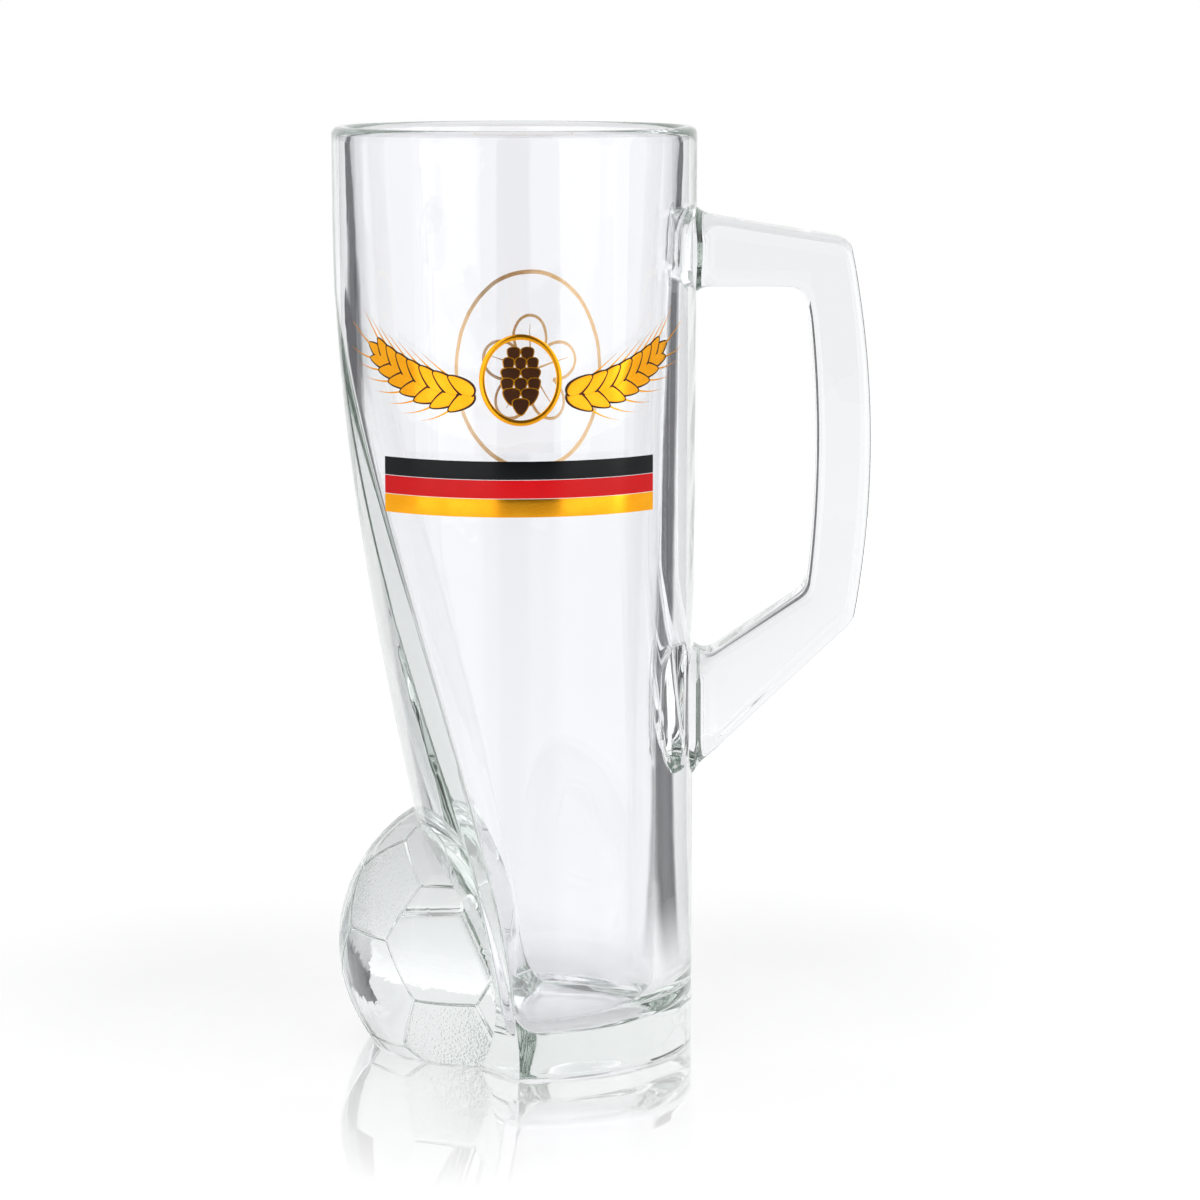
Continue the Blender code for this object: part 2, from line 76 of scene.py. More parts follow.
class VesselSizes(bpy.types.PropertyGroup):
    """Sizes of the pressed vessel."""

    height: length("Height", 0.2040, "Table to rim")
    rim: length("Rim radius", 0.0400, "Outside radius at the rim")
    base: length("Base radius", 0.0393, "Outside radius at the table")
    base_round: length("Base edge", 0.0008, "Rounding of the edge that stands on the table")
    lip_round: length("Lip rounding", 0.0017, "Outer rounding of the lip")
    lip_land: length("Lip land", 0.0003, "Flat part on top of the lip")
    rim_wall: length("Rim wall", 0.0037, "Wall thickness just below the lip")
    waist_wall: length("Waist wall", 0.0080, "Wall thickness at the waist of the cavity")
    waist_z: length("Waist height", 0.0700, "Height where the cavity stops tapering")
    floor_wall: length("Floor wall", 0.0083, "Wall thickness beside the floor")
    floor: length("Floor thickness", 0.0070, "Solid glass under the beer")
    floor_round: length("Floor rounding", 0.0090, "Rounding between cavity wall and floor")
    axis_x: length("Scoop axis", 0.0420, "Distance of the axis that the scoop turns about")
    scoop_top_out: length("Scoop start", 0.0003, "How far outside the rim the scoop begins")
    scoop_top_drop: length("Scoop top", 0.0064, "Start of the scoop below the rim")
    scoop_top_pull: length("Scoop top pull", 0.0960, "Upright pull at the top of the scoop's curve")
    scoop_foot_x: length("Scoop foot", -0.0149, "Where the scoop ends at its foot")
    scoop_foot_z: length("Scoop foot height", 0.0040, "Height of the scoop's foot")
    scoop_foot_pull: length("Scoop foot pull", 0.0288, "Upright pull at the foot of the scoop's curve")
    hollow_top_out: length("Hollow start", 0.0005, "How far outside the cavity rim the hollow begins")
    hollow_axis_x: length("Hollow axis", 0.0950, "Distance of the axis that the hollow turns about")
    hollow_top_drop: length("Hollow top", 0.0092, "Start of the hollow below the rim")
    hollow_top_pull: length("Hollow top pull", 0.0602, "Upright pull at the top of the hollow's curve")
    hollow_foot_wall: length("Hollow foot wall", 0.0100, "Glass between scoop and hollow at the floor")
    hollow_foot_pull: length("Hollow foot pull", 0.0405, "Upright pull at the foot of the hollow's curve")
    crease: length("Outer crease", 0.00030, "Softness of the edge between round wall and scoop")
    inner_crease: length("Inner crease", 0.00080, "Softness of the same edge inside")


class FootballSizes(bpy.types.PropertyGroup):
    """Sizes of the football foot."""

    radius: length("Ball radius", 0.03565, "Radius of the football")
    x: length("Ball place", -0.0045, "Centre of the football, towards the handle")
    z: length("Ball height", 0.0217, "Centre of the football above the table")
    seam: length("Seam half width", 0.00042, "Half the width of a seam groove")
    seam_depth: length("Seam depth", 0.00036, "Depth of a seam groove")
    pebble: length("Pebble height", 0.00003, "Height of the coarse grain on the pentagons")
    pebble_size: length("Pebble size", 0.00120, "Spacing of the coarse grain on the pentagons")
    grain_size: length("Grain size", 0.00060, "Spacing of the fine grain on the pentagons")


class HandleSizes(bpy.types.PropertyGroup):
    """Sizes of the handle, with drops measured down from the rim."""

    finger_gap: length("Finger gap", 0.0263, "Wall to grip")
    grip_width: length("Grip width", 0.0119, "Grip seen from the side")
    grip_mid_drop: length("Grip middle", 0.0700, "Widest place of the grip")
    outer_sag: length("Outer bow", 0.0048, "Bow of the grip's outer edge")
    inner_sag: length("Inner bow", 0.0024, "Bow of the grip's inner edge")
    top_root: length("Top root", 0.0188, "Top edge of the upper bar at the wall")
    top_end: length("Top end", 0.0244, "Top edge of the upper bar at the corner")
    top_under: length("Top underside", 0.0347, "Underside of the upper bar")
    low_top_end: length("Low bar inner end", 0.1018, "Top of the lower bar at the grip")
    low_end: length("Low bar outer end", 0.1086, "Underside of the lower bar at the corner")
    low_top_root: length("Low bar inner root", 0.1159, "Top of the lower bar at the wall")
    low_root: length("Low bar outer root", 0.1415, "Underside of the lower bar at the wall")
    knee_out: length("Knee", 0.0034, "Where the top of the lower bar turns level")
    thickness: length("Thickness", 0.0160, "Handle seen from its edge")
    edge_round: length("Edge rounding", 0.0022, "Rounding along the handle's edges")
    top_corner: length("Top corner", 0.0035, "Rounding of the upper outer corner")
    low_corner: length("Low corner", 0.0050, "Rounding of the lower corners")
    palm: length("Palm corner", 0.0050, "Rounding of the upper inner corner")
    flare: length("Root flare", 0.0013, "Extra glass drawn round the welds")
    flare_reach: length("Flare reach", 0.0014, "How far the weld flare runs out")
    root_round: length("Root rounding", 0.0074, "Rounding of the handle's edges at the weld")
    root_reach: length("Root reach", 0.0026, "How far the rounder edges run out")


class PrintSizes(bpy.types.PropertyGroup):
    """Sizes of the fired-on print, measured round the wall and down from the rim."""

    motif_s: length("Motif place", 0.0020, "Middle of the front motif, towards the handle")
    motif_drop: length("Motif drop", 0.0520, "Middle of the front motif below the rim")
    ear_start: length("Ear start", 0.0100, "Where a barley ear begins beside the middle")
    ear_length: length("Ear length", 0.0250, "Barley ear along its spine")
    ear_rise: length("Ear rise", 0.0090, "How far an ear curves up")
    ear_below: length("Ear drop", 0.0030, "Root of an ear below the motif's middle")
    grain_length: length("Grain length", 0.0074, "Longest grain of an ear")
    grain_width: length("Grain width", 0.0027, "Widest grain of an ear")
    awn_length: length("Awn length", 0.0080, "Bristle at the tip of a grain")
    awn_width: length("Awn width", 0.00045, "Bristle at its root")
    outline: length("Outline", 0.00035, "Brown edge that shows round the gold")
    ring_width: length("Ring width", 0.0176, "Ring round the hop cone")
    ring_height: length("Ring height", 0.0194, "Ring round the hop cone")
    ring_line: length("Ring line", 0.0012, "Width of the ring's line")
    cone_height: length("Cone height", 0.0130, "Hop cone")
    cone_width: length("Cone width", 0.0086, "Hop cone")
    stripe_length: length("Stripe length", 0.0640, "Stripes round the wall")
    stripe_height: length("Stripe height", 0.0039, "One stripe")
    stripe_gap: length("Stripe gap", 0.0001, "Clear glass between stripes")
    stripe_below: length("Stripe drop", 0.01725, "Upper stripe below the motif's middle")
    frame_s: length("Frame place", -0.0030, "Middle of the back oval round the wall")
    frame_drop: length("Frame drop", 0.0585, "Middle of the back oval below the rim")
    frame_width: length("Frame width", 0.0400, "Back oval")
    frame_height: length("Frame height", 0.0460, "Back oval")
    frame_line: length("Frame line", 0.0010, "Width of the oval's line")
    leaf_size: length("Leaf size", 0.0130, "Radius of the outlined leaf")
    leaf_line: length("Leaf line", 0.0007, "Width of the leaf's lines")
    relief: length("Relief", 0.00016, "How far the gold lines swell")
    swell: length("Swell", 0.00004, "How far a grain swells over its outline")
    layer: length("Layer", 0.00005, "Thickness of one layer of enamel")


class MugColours(bpy.types.PropertyGroup):
    """Colours of glass and print."""

    glass: tint("Glass", "#FCFCFE", "Clear soda-lime glass")
    depth: tint("Glass depth", "#C4D0C8", "Colour that thick glass takes on")
    gold: tint("Gold lustre", "#FFB52A", "Bright fired-on gold")
    gold_dark: tint("Gold shade", "#F09A14", "Gold where it is thin")
    pale: tint("Pale lustre", "#FFD796", "Thin gold of the back print")
    pale_dark: tint("Pale shade", "#EDB35C", "Back print where it is thick")
    brown: tint("Brown enamel", "#5A3010", "Outlines and hop cone")
    brown_dark: tint("Brown shade", "#2E1606", "Outlines and hop cone where they are thick")
    black: tint("Black enamel", "#06080A", "Upper stripe")
    black_light: tint("Black sheen", "#0E1216", "Upper stripe where it is thin")
    red: tint("Red enamel", "#FF1A20", "Middle stripe")
    red_dark: tint("Red shade", "#F0141C", "Middle stripe where it is thick")


def skin(name, points, faces):
    """Put arrays of points and faces into a closed mesh that faces outwards."""
    mesh = bpy.data.meshes.new(name)
    mesh.from_pydata(points.tolist(), [], faces)
    bm = bmesh.new()
    bm.from_mesh(mesh)
    bmesh.ops.remove_doubles(bm, verts=bm.verts, dist=1e-6)
    bmesh.ops.recalc_face_normals(bm, faces=bm.faces)
    bm.to_mesh(mesh)
    bm.free()
    return mesh


def smooth(mesh, sharp):
    """Shade a mesh smooth, apart from edges steeper than an angle in degrees."""
    mesh.polygons.foreach_set("use_smooth", np.ones(len(mesh.polygons), dtype=bool))
    mesh.set_sharp_from_angle(angle=math.radians(sharp))
    return mesh


def grid_faces(rows, cols):
    """Quads of a grid whose columns run round and close on themselves."""
    r = np.arange(rows - 1)[:, None]
    c = np.arange(cols)[None, :]
    n = (c + 1) % cols
    quads = np.stack([r * cols + c, r * cols + n, (r + 1) * cols + n, (r + 1) * cols + c], axis=-1)
    return quads.reshape(-1, 4).tolist()


def fan_faces(ring, pole, turned):
    """Triangles from a closed ring of point numbers to a pole."""
    nxt = np.roll(ring, -1)
    tris = np.stack([nxt, ring, np.full_like(ring, pole)], axis=-1)
    return (tris[:, ::-1] if turned else tris).tolist()


def copies(faces, size, count):
    """Faces of one shape, repeated for a row of like shapes with size points each."""
    faces = np.array(faces)
    return (faces + size * np.arange(count)[:, None, None]).reshape(-1, faces.shape[1])


def capped_faces(rows, cols):
    """Faces of a grid of rings, with a pole before the first and after the last."""
    ring = np.arange(cols)
    faces = grid_faces(rows, cols)
    faces += fan_faces(ring, rows * cols, False)
    faces += fan_faces(ring + (rows - 1) * cols, rows * cols + 1, True)
    return faces


def closed_skin(name, grid, poles):
    """Closed mesh from a grid of rings and its two poles."""
    return skin(name, np.concatenate([grid.reshape(-1, 3), poles]), capped_faces(*grid.shape[:2]))


def unit(a):
    """Vectors scaled to length one."""
    return a / np.linalg.norm(a, axis=-1, keepdims=True)


# Vessel: the steps round a crease are in units of its softness.
SECTION_CENTRE = 0.013
CORNER_MIN = math.radians(3.0)
CREASE_STEPS = np.array([0.4, 0.9, 1.6, 2.6])
SCOOP_COLUMNS = 22
ROUND_COLUMNS = 62
WALL_ROWS = 122
CAVITY_ROWS = 112
FLAT_ROWS = np.array([0.45, 0.8])
QUARTER = np.radians(np.linspace(0.0, 90.0, 7))
CAVITY_TAPER = 1.35
SWEEP_STEPS = 600
GLASS_SHARP = 32.0
SEAT_ROWS = 60
SEAT_SINK = 0.002
SEAT_TOP = 0.09


def sweep_x(z, top, top_pull, foot_pull, foot):
    """S-curve: a cubic Bezier that is upright at both ends, read back by height."""
    t = np.linspace(0.0, 1.0, SWEEP_STEPS)
    u = 1.0 - t
    near = u * u * (u + 3.0 * t)
    far = t * t * (t + 3.0 * u)
    x = near * top[0] + far * foot[0]
    h = near * top[1] + far * foot[1] - 3.0 * u * u * t * top_pull + 3.0 * u * t * t * foot_pull
    return np.interp(z, h[::-1], x[::-1])


def section_columns(corner, radius, soft):
    """Angles round a section, 0 at the football: even steps on both faces, with
    close-set columns either side of the corner where the two faces meet."""
    near = CREASE_STEPS * soft / radius[:, None]
    reach = near[:, -1:]
    corner = corner[:, None]
    a = np.linspace(0.0, 1.0, SCOOP_COLUMNS)[None, :] * (corner - reach)
    b = corner - near[:, -2::-1]
    c = corner + near[:, :-1]
    d = corner + reach + np.linspace(0.0, 1.0, ROUND_COLUMNS)[None, :] * (math.pi - corner - reach)
    half = np.concatenate([a, b, corner, c, d], axis=1)
    return np.concatenate([half, 2.0 * math.pi - half[:, -2:0:-1]], axis=1)


def sections(z, radius, reach, axis_x, soft, close):
    """Rows of D-shaped sections, measured from a centre inside them. Each is the
    nearer of a round wall about the mug's axis and a wide circle about the
    scoop's axis, blended over a soft crease, and drawn in by the closing factor."""
    cross = np.clip((radius ** 2 - reach ** 2 + axis_x ** 2) / (2.0 * axis_x), -radius, radius)
    corner = np.arctan2(np.sqrt(radius ** 2 - cross ** 2), SECTION_CENTRE - cross)
    turn = section_columns(np.maximum(corner, CORNER_MIN), radius, soft)
    sine, cosine = np.sin(turn), np.cos(turn)
    away = axis_x - SECTION_CENTRE
    wall = np.sqrt(radius[:, None] ** 2 - (SECTION_CENTRE * sine) ** 2) + SECTION_CENTRE * cosine
    scoop = np.sqrt(reach[:, None] ** 2 - (away * sine) ** 2) - away * cosine
    blend = np.clip(1.0 - np.abs(wall - scoop) / soft, 0.0, None)
    r = close[:, None] * (np.minimum(wall, scoop) - blend * blend * soft / 4.0)
    level = np.broadcast_to(z[:, None], r.shape)
    return np.stack([SECTION_CENTRE - r * cosine, r * sine, level], axis=-1)


def wall_radius(v, z):
    """Outside radius of the round wall, which widens evenly from base to rim."""
    return v.base + (v.rim - v.base) * z / v.height


def outside_sections(v, z, inset, close):
    """Sections of the vessel's outside, drawn in by the inset."""
    top = (-v.rim - v.scoop_top_out, v.height - v.scoop_top_drop)
    foot = (v.scoop_foot_x, v.scoop_foot_z)
    reach = v.axis_x - sweep_x(z, top, v.scoop_top_pull, v.scoop_foot_pull, foot) - inset
    return sections(z, wall_radius(v, z) - inset, reach, v.axis_x, v.crease, close)


def vessel_skin(v):
    """Closed skin of the vessel in one grid: from the middle of the base out and
    up the wall, over the lip, down the cavity and in to the middle of its floor."""
    flat = 0.0 * FLAT_ROWS
    bulge, fade = np.sin(QUARTER), np.cos(QUARTER)
    z_lip = v.height - v.lip_round
    up = np.linspace(v.base_round, z_lip, WALL_ROWS)[1:-1]
    z = np.concatenate([flat, v.base_round * (1 - fade), up, z_lip + v.lip_round * bulge])
    inset = np.concatenate([
        flat + v.base_round, v.base_round * (1 - bulge), 0.0 * up, v.lip_round * (1 - fade)
    ])
    close = np.concatenate([FLAT_ROWS, np.ones(len(z) - len(flat))])
    outside = outside_sections(v, z, inset, close)

    rim = v.rim - v.rim_wall
    waist = v.base - v.waist_wall
    low = v.base - v.floor_wall
    drop = v.rim - v.lip_round - v.lip_land - rim
    z_neck = v.height - drop
    z_turn = v.floor + v.floor_round
    down = np.linspace(z_neck, z_turn, CAVITY_ROWS)[1:-1]
    z = np.concatenate([z_neck + drop * fade, down, z_turn - v.floor_round * bulge, flat + v.floor])
    inset = np.concatenate([
        -drop * (1 - bulge), 0.0 * down, v.floor_round * (1 - fade), flat + v.floor_round
    ])
    close = np.concatenate([np.ones(len(z) - len(flat)), FLAT_ROWS[::-1]])
    t = np.clip((z_neck - z) / (z_neck - v.waist_z), 0.0, 1.0)
    radius = waist + (rim - waist) * (1 - t) ** CAVITY_TAPER
    radius += (low - waist) * np.clip((v.waist_z - z) / (v.waist_z - z_turn), 0.0, 1.0) - inset
    top = (-rim - v.hollow_top_out, v.height - v.hollow_top_drop)
    foot = (v.scoop_foot_x + v.hollow_foot_wall, v.floor)
    reach = v.hollow_axis_x - sweep_x(z, top, v.hollow_top_pull, v.hollow_foot_pull, foot) - inset
    inside = sections(z, radius, reach, v.hollow_axis_x, v.inner_crease, close)

    poles = np.array([[SECTION_CENTRE, 0.0, 0.0], [SECTION_CENTRE, 0.0, v.floor]])
    return closed_skin("vessel", np.concatenate([outside, inside]), poles)


def seat_skin(v):
    """Filled foot of the vessel, drawn in a little: the room inside the glass that
    the football leaves free for the cavity."""
    z = np.linspace(-SEAT_SINK, SEAT_TOP, SEAT_ROWS)
    grid = outside_sections(v, z, SEAT_SINK, np.ones(SEAT_ROWS))
    poles = np.array([[SECTION_CENTRE, 0.0, -SEAT_SINK], [SECTION_CENTRE, 0.0, SEAT_TOP]])
    return closed_skin("football_seat", grid, poles)


# Football: distances from a seam are in units of its half width.
GRAIN = "pentagon_grain"
BACK_GRAIN = 0.1
GRAIN_START = 0.6
PEBBLE_START = 1.3
PEBBLE_RAMP = 1.5
SEAM_STEPS = np.array([0.0, 0.3, 0.55, 0.8, 1.05, 1.5])
PANEL_START = 2.6
PANEL_STEPS = 18
PENTAGON_RINGS = 26
HEXAGON_RINGS = 11
LATTICE = 64
FOOT_CUT = 0.0001


def pentagon_centres():
    """The twelve corners of an icosahedron: two poles and two rings of five."""
    ring = np.radians(72.0 * np.arange(5))
    up = np.stack([2 * np.cos(ring), 2 * np.sin(ring), np.ones(5)], axis=-1)
    return unit(np.concatenate([[[0.0, 0.0, 1.0]], up, -up, [[0.0, 0.0, -1.0]]]))


def football_corners():
    """Corners of the twelve pentagons and twenty hexagons: the points at one
    third and two thirds of every edge of the icosahedron."""
    v = pentagon_centres()
    touch = np.abs(v @ v.T - 1.0 / math.sqrt(5.0)) < 0.01
    pents = []
    hexes = []
    for i in range(12):
        around = np.flatnonzero(touch[i])
        east = unit(v[around[0]] - v[i] * (v[around[0]] @ v[i]))
        north = np.cross(v[i], east)
        order = np.argsort(np.arctan2(v[around] @ north, v[around] @ east))
        ring = around[order]
        pents.append((2 * v[i] + v[ring]) / 3.0)
        for j, k in zip(ring, np.roll(ring, -1)):
            if i < j and i < k:
                loop = [(i, j), (j, i), (j, k), (k, j), (k, i), (i, k)]
                hexes.append([(2 * v[a] + v[b]) / 3.0 for a, b in loop])
    return np.array(pents), np.array(hexes)


def grain(points, size):
    """Smooth random heights from -1 to 1: random numbers on a cubic lattice of
    the given spacing, blended between lattice points."""
    table = np.random.default_rng(7).uniform(-1.0, 1.0, (LATTICE, LATTICE, LATTICE))
    cell = np.floor(points / size).astype(int)
    f = points / size - cell
    f = f * f * (3.0 - 2.0 * f)
    out = np.zeros(points.shape[:-1])
    for corner in np.ndindex(2, 2, 2):
        at = (cell + np.array(corner)) % LATTICE
        share = np.prod(np.where(np.array(corner) == 1, f, 1.0 - f), axis=-1)
        out += share * table[at[..., 0], at[..., 1], at[..., 2]]
    return out


def panel_grid(b, corners, inner_rows, pebbled):
    """Football panels in polar grids: rings shrink from the seam to the panel's
    middle, all on the sphere. A groove sinks along the seam as half a cosine
    wave, and a pebbled panel is raised by a random grain."""
    panels, sides = corners.shape[:2]
    cols = sides * PANEL_STEPS
    nxt = np.roll(corners, -1, axis=1)
    t = (np.arange(PANEL_STEPS) / PANEL_STEPS)[None, None, :, None]
    border = (corners[:, :, None] * (1 - t) + nxt[:, :, None] * t).reshape(panels, cols, 3)
    middle = corners.mean(axis=1)
    flat = np.linalg.norm((corners + nxt) / 2.0 - middle[:, None], axis=-1)[0, 0]
    apothem = flat * b.radius / np.linalg.norm(corners[0, 0])
    inner = np.linspace(PANEL_START * b.seam, apothem, inner_rows)
    d = np.concatenate([b.seam * SEAM_STEPS, inner])
    share = (1.0 - d / apothem)[:-1]
    rings = middle[:, None, None] + share[None, :, None, None] * (border - middle[:, None])[:, None]
    points = unit(np.concatenate([rings.reshape(panels, -1, 3), middle[:, None]], axis=1))
    sink = 0.5 * b.seam_depth * (1.0 + np.cos(np.pi * np.clip(d / b.seam, 0.0, 1.0)))
    sink = np.concatenate([np.repeat(sink[:-1], cols), [0.0]])[None, :]
    rise = np.zeros_like(sink)
    if pebbled:
        fade = np.clip((d - PEBBLE_START * b.seam) / (PEBBLE_RAMP * b.seam), 0.0, 1.0)
        fade = np.concatenate([np.repeat(fade[:-1], cols), [1.0]])[None, :]
        rise = fade * b.pebble * grain(points * b.radius + 1.0, b.pebble_size)
    points = points * (b.radius - sink + rise)[..., None]
    rows = len(share)
    size = rows * cols + 1
    quads = copies(grid_faces(rows, cols), size, panels)
    tris = copies(fan_faces(np.arange(cols) + (rows - 1) * cols, rows * cols, True), size, panels)
    return points.reshape(-1, 3), quads, tris


def mark_grain(mesh, b):
    """Note on every point of the ball how far inside a pentagon it lies: the lead
    of the nearest pentagon's plane over the nearest hexagon's plane, seen from
    the ball's middle, runs from 0 at the seam to 1 further in. Points that only
    pass near the ball, such as the cavity's, face another way and get 0."""
    pents, hexes = football_corners()
    spots = np.empty(len(mesh.vertices) * 3)
    mesh.vertices.foreach_get("co", spots)
    facing = np.empty(len(mesh.vertices) * 3)
    mesh.vertices.foreach_get("normal", facing)
    arm = spots.reshape(-1, 3) - np.array([b.x, 0.0, b.z])
    aim = unit(arm)
    five = pents.mean(axis=1)
    six = hexes.mean(axis=1)
    lead = (aim @ (five / (five ** 2).sum(axis=1, keepdims=True)).T).max(axis=1)
    lead -= (aim @ (six / (six ** 2).sum(axis=1, keepdims=True)).T).max(axis=1)
    on_ball = np.abs(np.linalg.norm(arm, axis=1) - b.radius) < b.seam_depth
    on_ball &= (facing.reshape(-1, 3) * aim).sum(axis=1) > 0.5
    value = np.clip(lead * b.radius / b.seam - GRAIN_START, 0.0, 1.0) * on_ball
    value *= np.where(arm[:, 1] > 0.0, BACK_GRAIN, 1.0)
    mesh.attributes.new(GRAIN, "FLOAT", "POINT").data.foreach_set("value", value)


def football_skin(b):
    """The whole ball from its panels, merged along the seams and cut flat just
    above the table."""
    pents, hexes = football_corners()
    p1, q1, t1 = panel_grid(b, pents, PENTAGON_RINGS, True)
    p2, q2, t2 = panel_grid(b, hexes, HEXAGON_RINGS, False)
    points = np.concatenate([p1, p2]) + np.array([b.x, 0.0, b.z])
    faces = q1.tolist() + t1.tolist() + (q2 + len(p1)).tolist() + (t2 + len(p1)).tolist()
    mesh = skin("football", points, faces)
    bm = bmesh.new()
    bm.from_mesh(mesh)
    geom = bm.verts[:] + bm.edges[:] + bm.faces[:]
    cut = bmesh.ops.bisect_plane(
        bm, geom=geom, plane_co=(0.0, 0.0, FOOT_CUT), plane_no=(0.0, 0.0, -1.0), clear_outer=True
    )
    rim = [e for e in cut["geom_cut"] if isinstance(e, bmesh.types.BMEdge)]
    bmesh.ops.contextual_create(bm, geom=rim)
    bmesh.ops.recalc_face_normals(bm, faces=bm.faces)
    bm.to_mesh(mesh)
    bm.free()
    return mesh


# Handle: the weld ends lie inside the wall, and the rows are closer at the roots.
WELD_SINK = 0.0024
ROOT_RUN = 0.0045
KNEE_ROUND = 0.004
BOW_RUN = 0.01
PALM_RUN = 0.02
ROOT_ROWS = 18
BAR_ROWS = 12
CORNER_ROWS = 10
GRIP_ROWS = 26
LOW_ROWS = 14
KNEE_ROWS = 8
EDGE_STEPS = 12
ROUNDEST = 0.9


def bend(a, corner, b, radius, count):
    """Points of a rounded corner: a quadratic Bezier between its two tangents."""
    a, corner, b = (np.array(p) for p in (a, corner, b))
    ua = unit(a - corner)
    ub = unit(b - corner)
    half = math.acos(float(ua @ ub)) / 2.0
    reach = radius / math.tan(half)
    t = np.linspace(0.0, 1.0, count)[:, None]
    return (1 - t) ** 2 * (corner + ua * reach) + 2 * t * (1 - t) * corner + t * t * (corner + ub * reach)


def line(a, b, count):
    """Evenly spaced points on a straight line, without its ends."""
    t = np.linspace(0.0, 1.0, count + 2)[1:-1, None]
    return np.array(a) * (1 - t) + np.array(b) * t


def handle_edges(h, v):
    """Outer and inner edge of the handle seen from the side, point for point:
    upper bar, corner, grip bowed as a parabola, corner, lower bar."""
    top = v.height
    mid = top - h.grip_mid_drop
    inner_x = v.rim + h.finger_gap
    outer_x = inner_x + h.grip_width
    z1, z2 = top - h.top_end, top - h.low_end
    z3, z4 = top - h.top_under, top - h.low_top_end

    def outer_bow(z):
        return outer_x - h.outer_sag * ((z - mid) / (z1 - mid)) ** 2, z

    def inner_bow(z):
        return inner_x - h.inner_sag * ((z - mid) / (z3 - mid)) ** 2, z

    def grip(bow, first, last):
        return np.stack(bow(np.linspace(first, last, GRIP_ROWS)[1:-1]), axis=-1)

    o_top, o_low = outer_bow(z1), outer_bow(z2)
    i_top, i_low = inner_bow(z3), inner_bow(z4)
    slope = (h.top_end - h.top_root) / (o_top[0] - v.rim)
    fall = (h.low_root - h.low_end) / (o_low[0] - v.rim)
    sink = v.rim - WELD_SINK
    o_start = (sink, top - h.top_root + slope * (v.rim - sink))
    o_stop = (sink, top - h.low_root - fall * (v.rim - sink))
    i_start = (sink, z3)
    i_stop = (sink, top - h.low_top_root)
    knee = (v.rim + h.knee_out, top - h.low_top_root)
    near = v.rim + ROOT_RUN
    o_root = (near, o_start[1] - slope * (near - sink))
    i_root = (near, z3)
    o_foot = (near, z2 - fall * (o_low[0] - near))

    o1 = bend(o_start, o_top, outer_bow(z1 - BOW_RUN), h.top_corner, CORNER_ROWS)
    o2 = bend(outer_bow(z2 + BOW_RUN), o_low, o_stop, h.low_corner, CORNER_ROWS)
    i1 = bend(i_start, i_top, inner_bow(z3 - PALM_RUN), h.palm, CORNER_ROWS)
    i2 = bend(inner_bow(z4 + BOW_RUN), i_low, knee, h.low_corner, CORNER_ROWS)
    i3 = bend(i_low, knee, i_stop, KNEE_ROUND, KNEE_ROWS)
    outer = [[o_start], line(o_start, o_root, ROOT_ROWS), [o_root], line(o_root, o1[0], BAR_ROWS), o1]
    outer += [grip(outer_bow, o1[-1][1], o2[0][1]), o2]
    outer += [line(o2[-1], o_foot, LOW_ROWS), [o_foot]]
    outer += [line(o_foot, o_stop, KNEE_ROWS + LOW_ROWS - 1), [o_stop]]
    inner = [[i_start], line(i_start, i_root, ROOT_ROWS), [i_root], line(i_root, i1[0], BAR_ROWS), i1]
    inner += [grip(inner_bow, i1[-1][1], i2[0][1]), i2]
    inner += [line(i2[-1], i3[0], LOW_ROWS), i3, line(i3[-1], i_stop, LOW_ROWS), [i_stop]]
    return np.concatenate(outer), np.concatenate(inner)


def handle_skin(h, v):
    """A rounded oblong carried along the handle from edge to edge. Next to the
    wall it flares by a falling exponential and turns oval by a bell curve, as the
    glass drawn round a weld."""
    outer, inner = handle_edges(h, v)
    span = outer - inner
    width = np.linalg.norm(span, axis=-1, keepdims=True)
    along = span / width
    turn = np.radians(np.linspace(0.0, 90.0, EDGE_STEPS))
    quarter = np.concatenate([turn + k * math.pi / 2.0 for k in range(4)])
    sx = np.repeat([1.0, -1.0, -1.0, 1.0], EDGE_STEPS)
    sy = np.repeat([1.0, 1.0, -1.0, -1.0], EDGE_STEPS)
    gap = np.clip(np.where(sx > 0.0, outer[:, :1], inner[:, :1]) - v.rim, 0.0, None)
    flare = h.flare * np.exp(-gap / h.flare_reach)
    a = width / 2.0 + flare
    b = h.thickness / 2.0 + flare
    edge = h.edge_round + (h.root_round - h.edge_round) * np.exp(-((gap / h.root_reach) ** 2))
    edge = np.minimum(edge, ROUNDEST * np.minimum(a, b))
    u = sx * (a - edge) + edge * np.cos(quarter)
    w = sy * (b - edge) + edge * np.sin(quarter)
    mid = (outer + inner) / 2.0
    x = mid[:, :1] + along[:, :1] * u
    z = mid[:, 1:] + along[:, 1:] * u
    grid = np.stack([x, w, z], axis=-1)
    return closed_skin("handle", grid, grid[[0, -1]].mean(axis=1))


# Print: levels are counted in layers of enamel, and lower levels are covered.
FRONT = 1.0
BACK = -1.0
DOME_RINGS = np.array([1.0, 1.0, 0.96, 0.86, 0.70, 0.48, 0.24])
LINE_ACROSS = np.array([-1.0, -1.0, -0.86, -0.5, 0.0, 0.5, 0.86, 1.0, 1.0])
LINE_EDGE = 0.25
LOOP_STEPS = 28
OVAL_STEPS = 120
FRAME_STEPS = 160
STRIPE_STEPS = 90
PRINT_SHARP = 50.0
FIRST_LEVEL = 1.5
UNDER_RISE = 0.1
OVER_EDGE = 0.2
EAR_PAIRS = np.linspace(0.0, 0.80, 7)
EAR_TIP = 0.0015
AWN_STEPS = 14
AWN_START = 0.97
AWN_BEND = 0.35
AWN_CURL = 0.6
CONE_ROWS = (1, 2, 3, 2, 3, 2)
CONE_LEVEL = 0.6
LEAF_LOBES = 5
LEAF_STEPS = 150
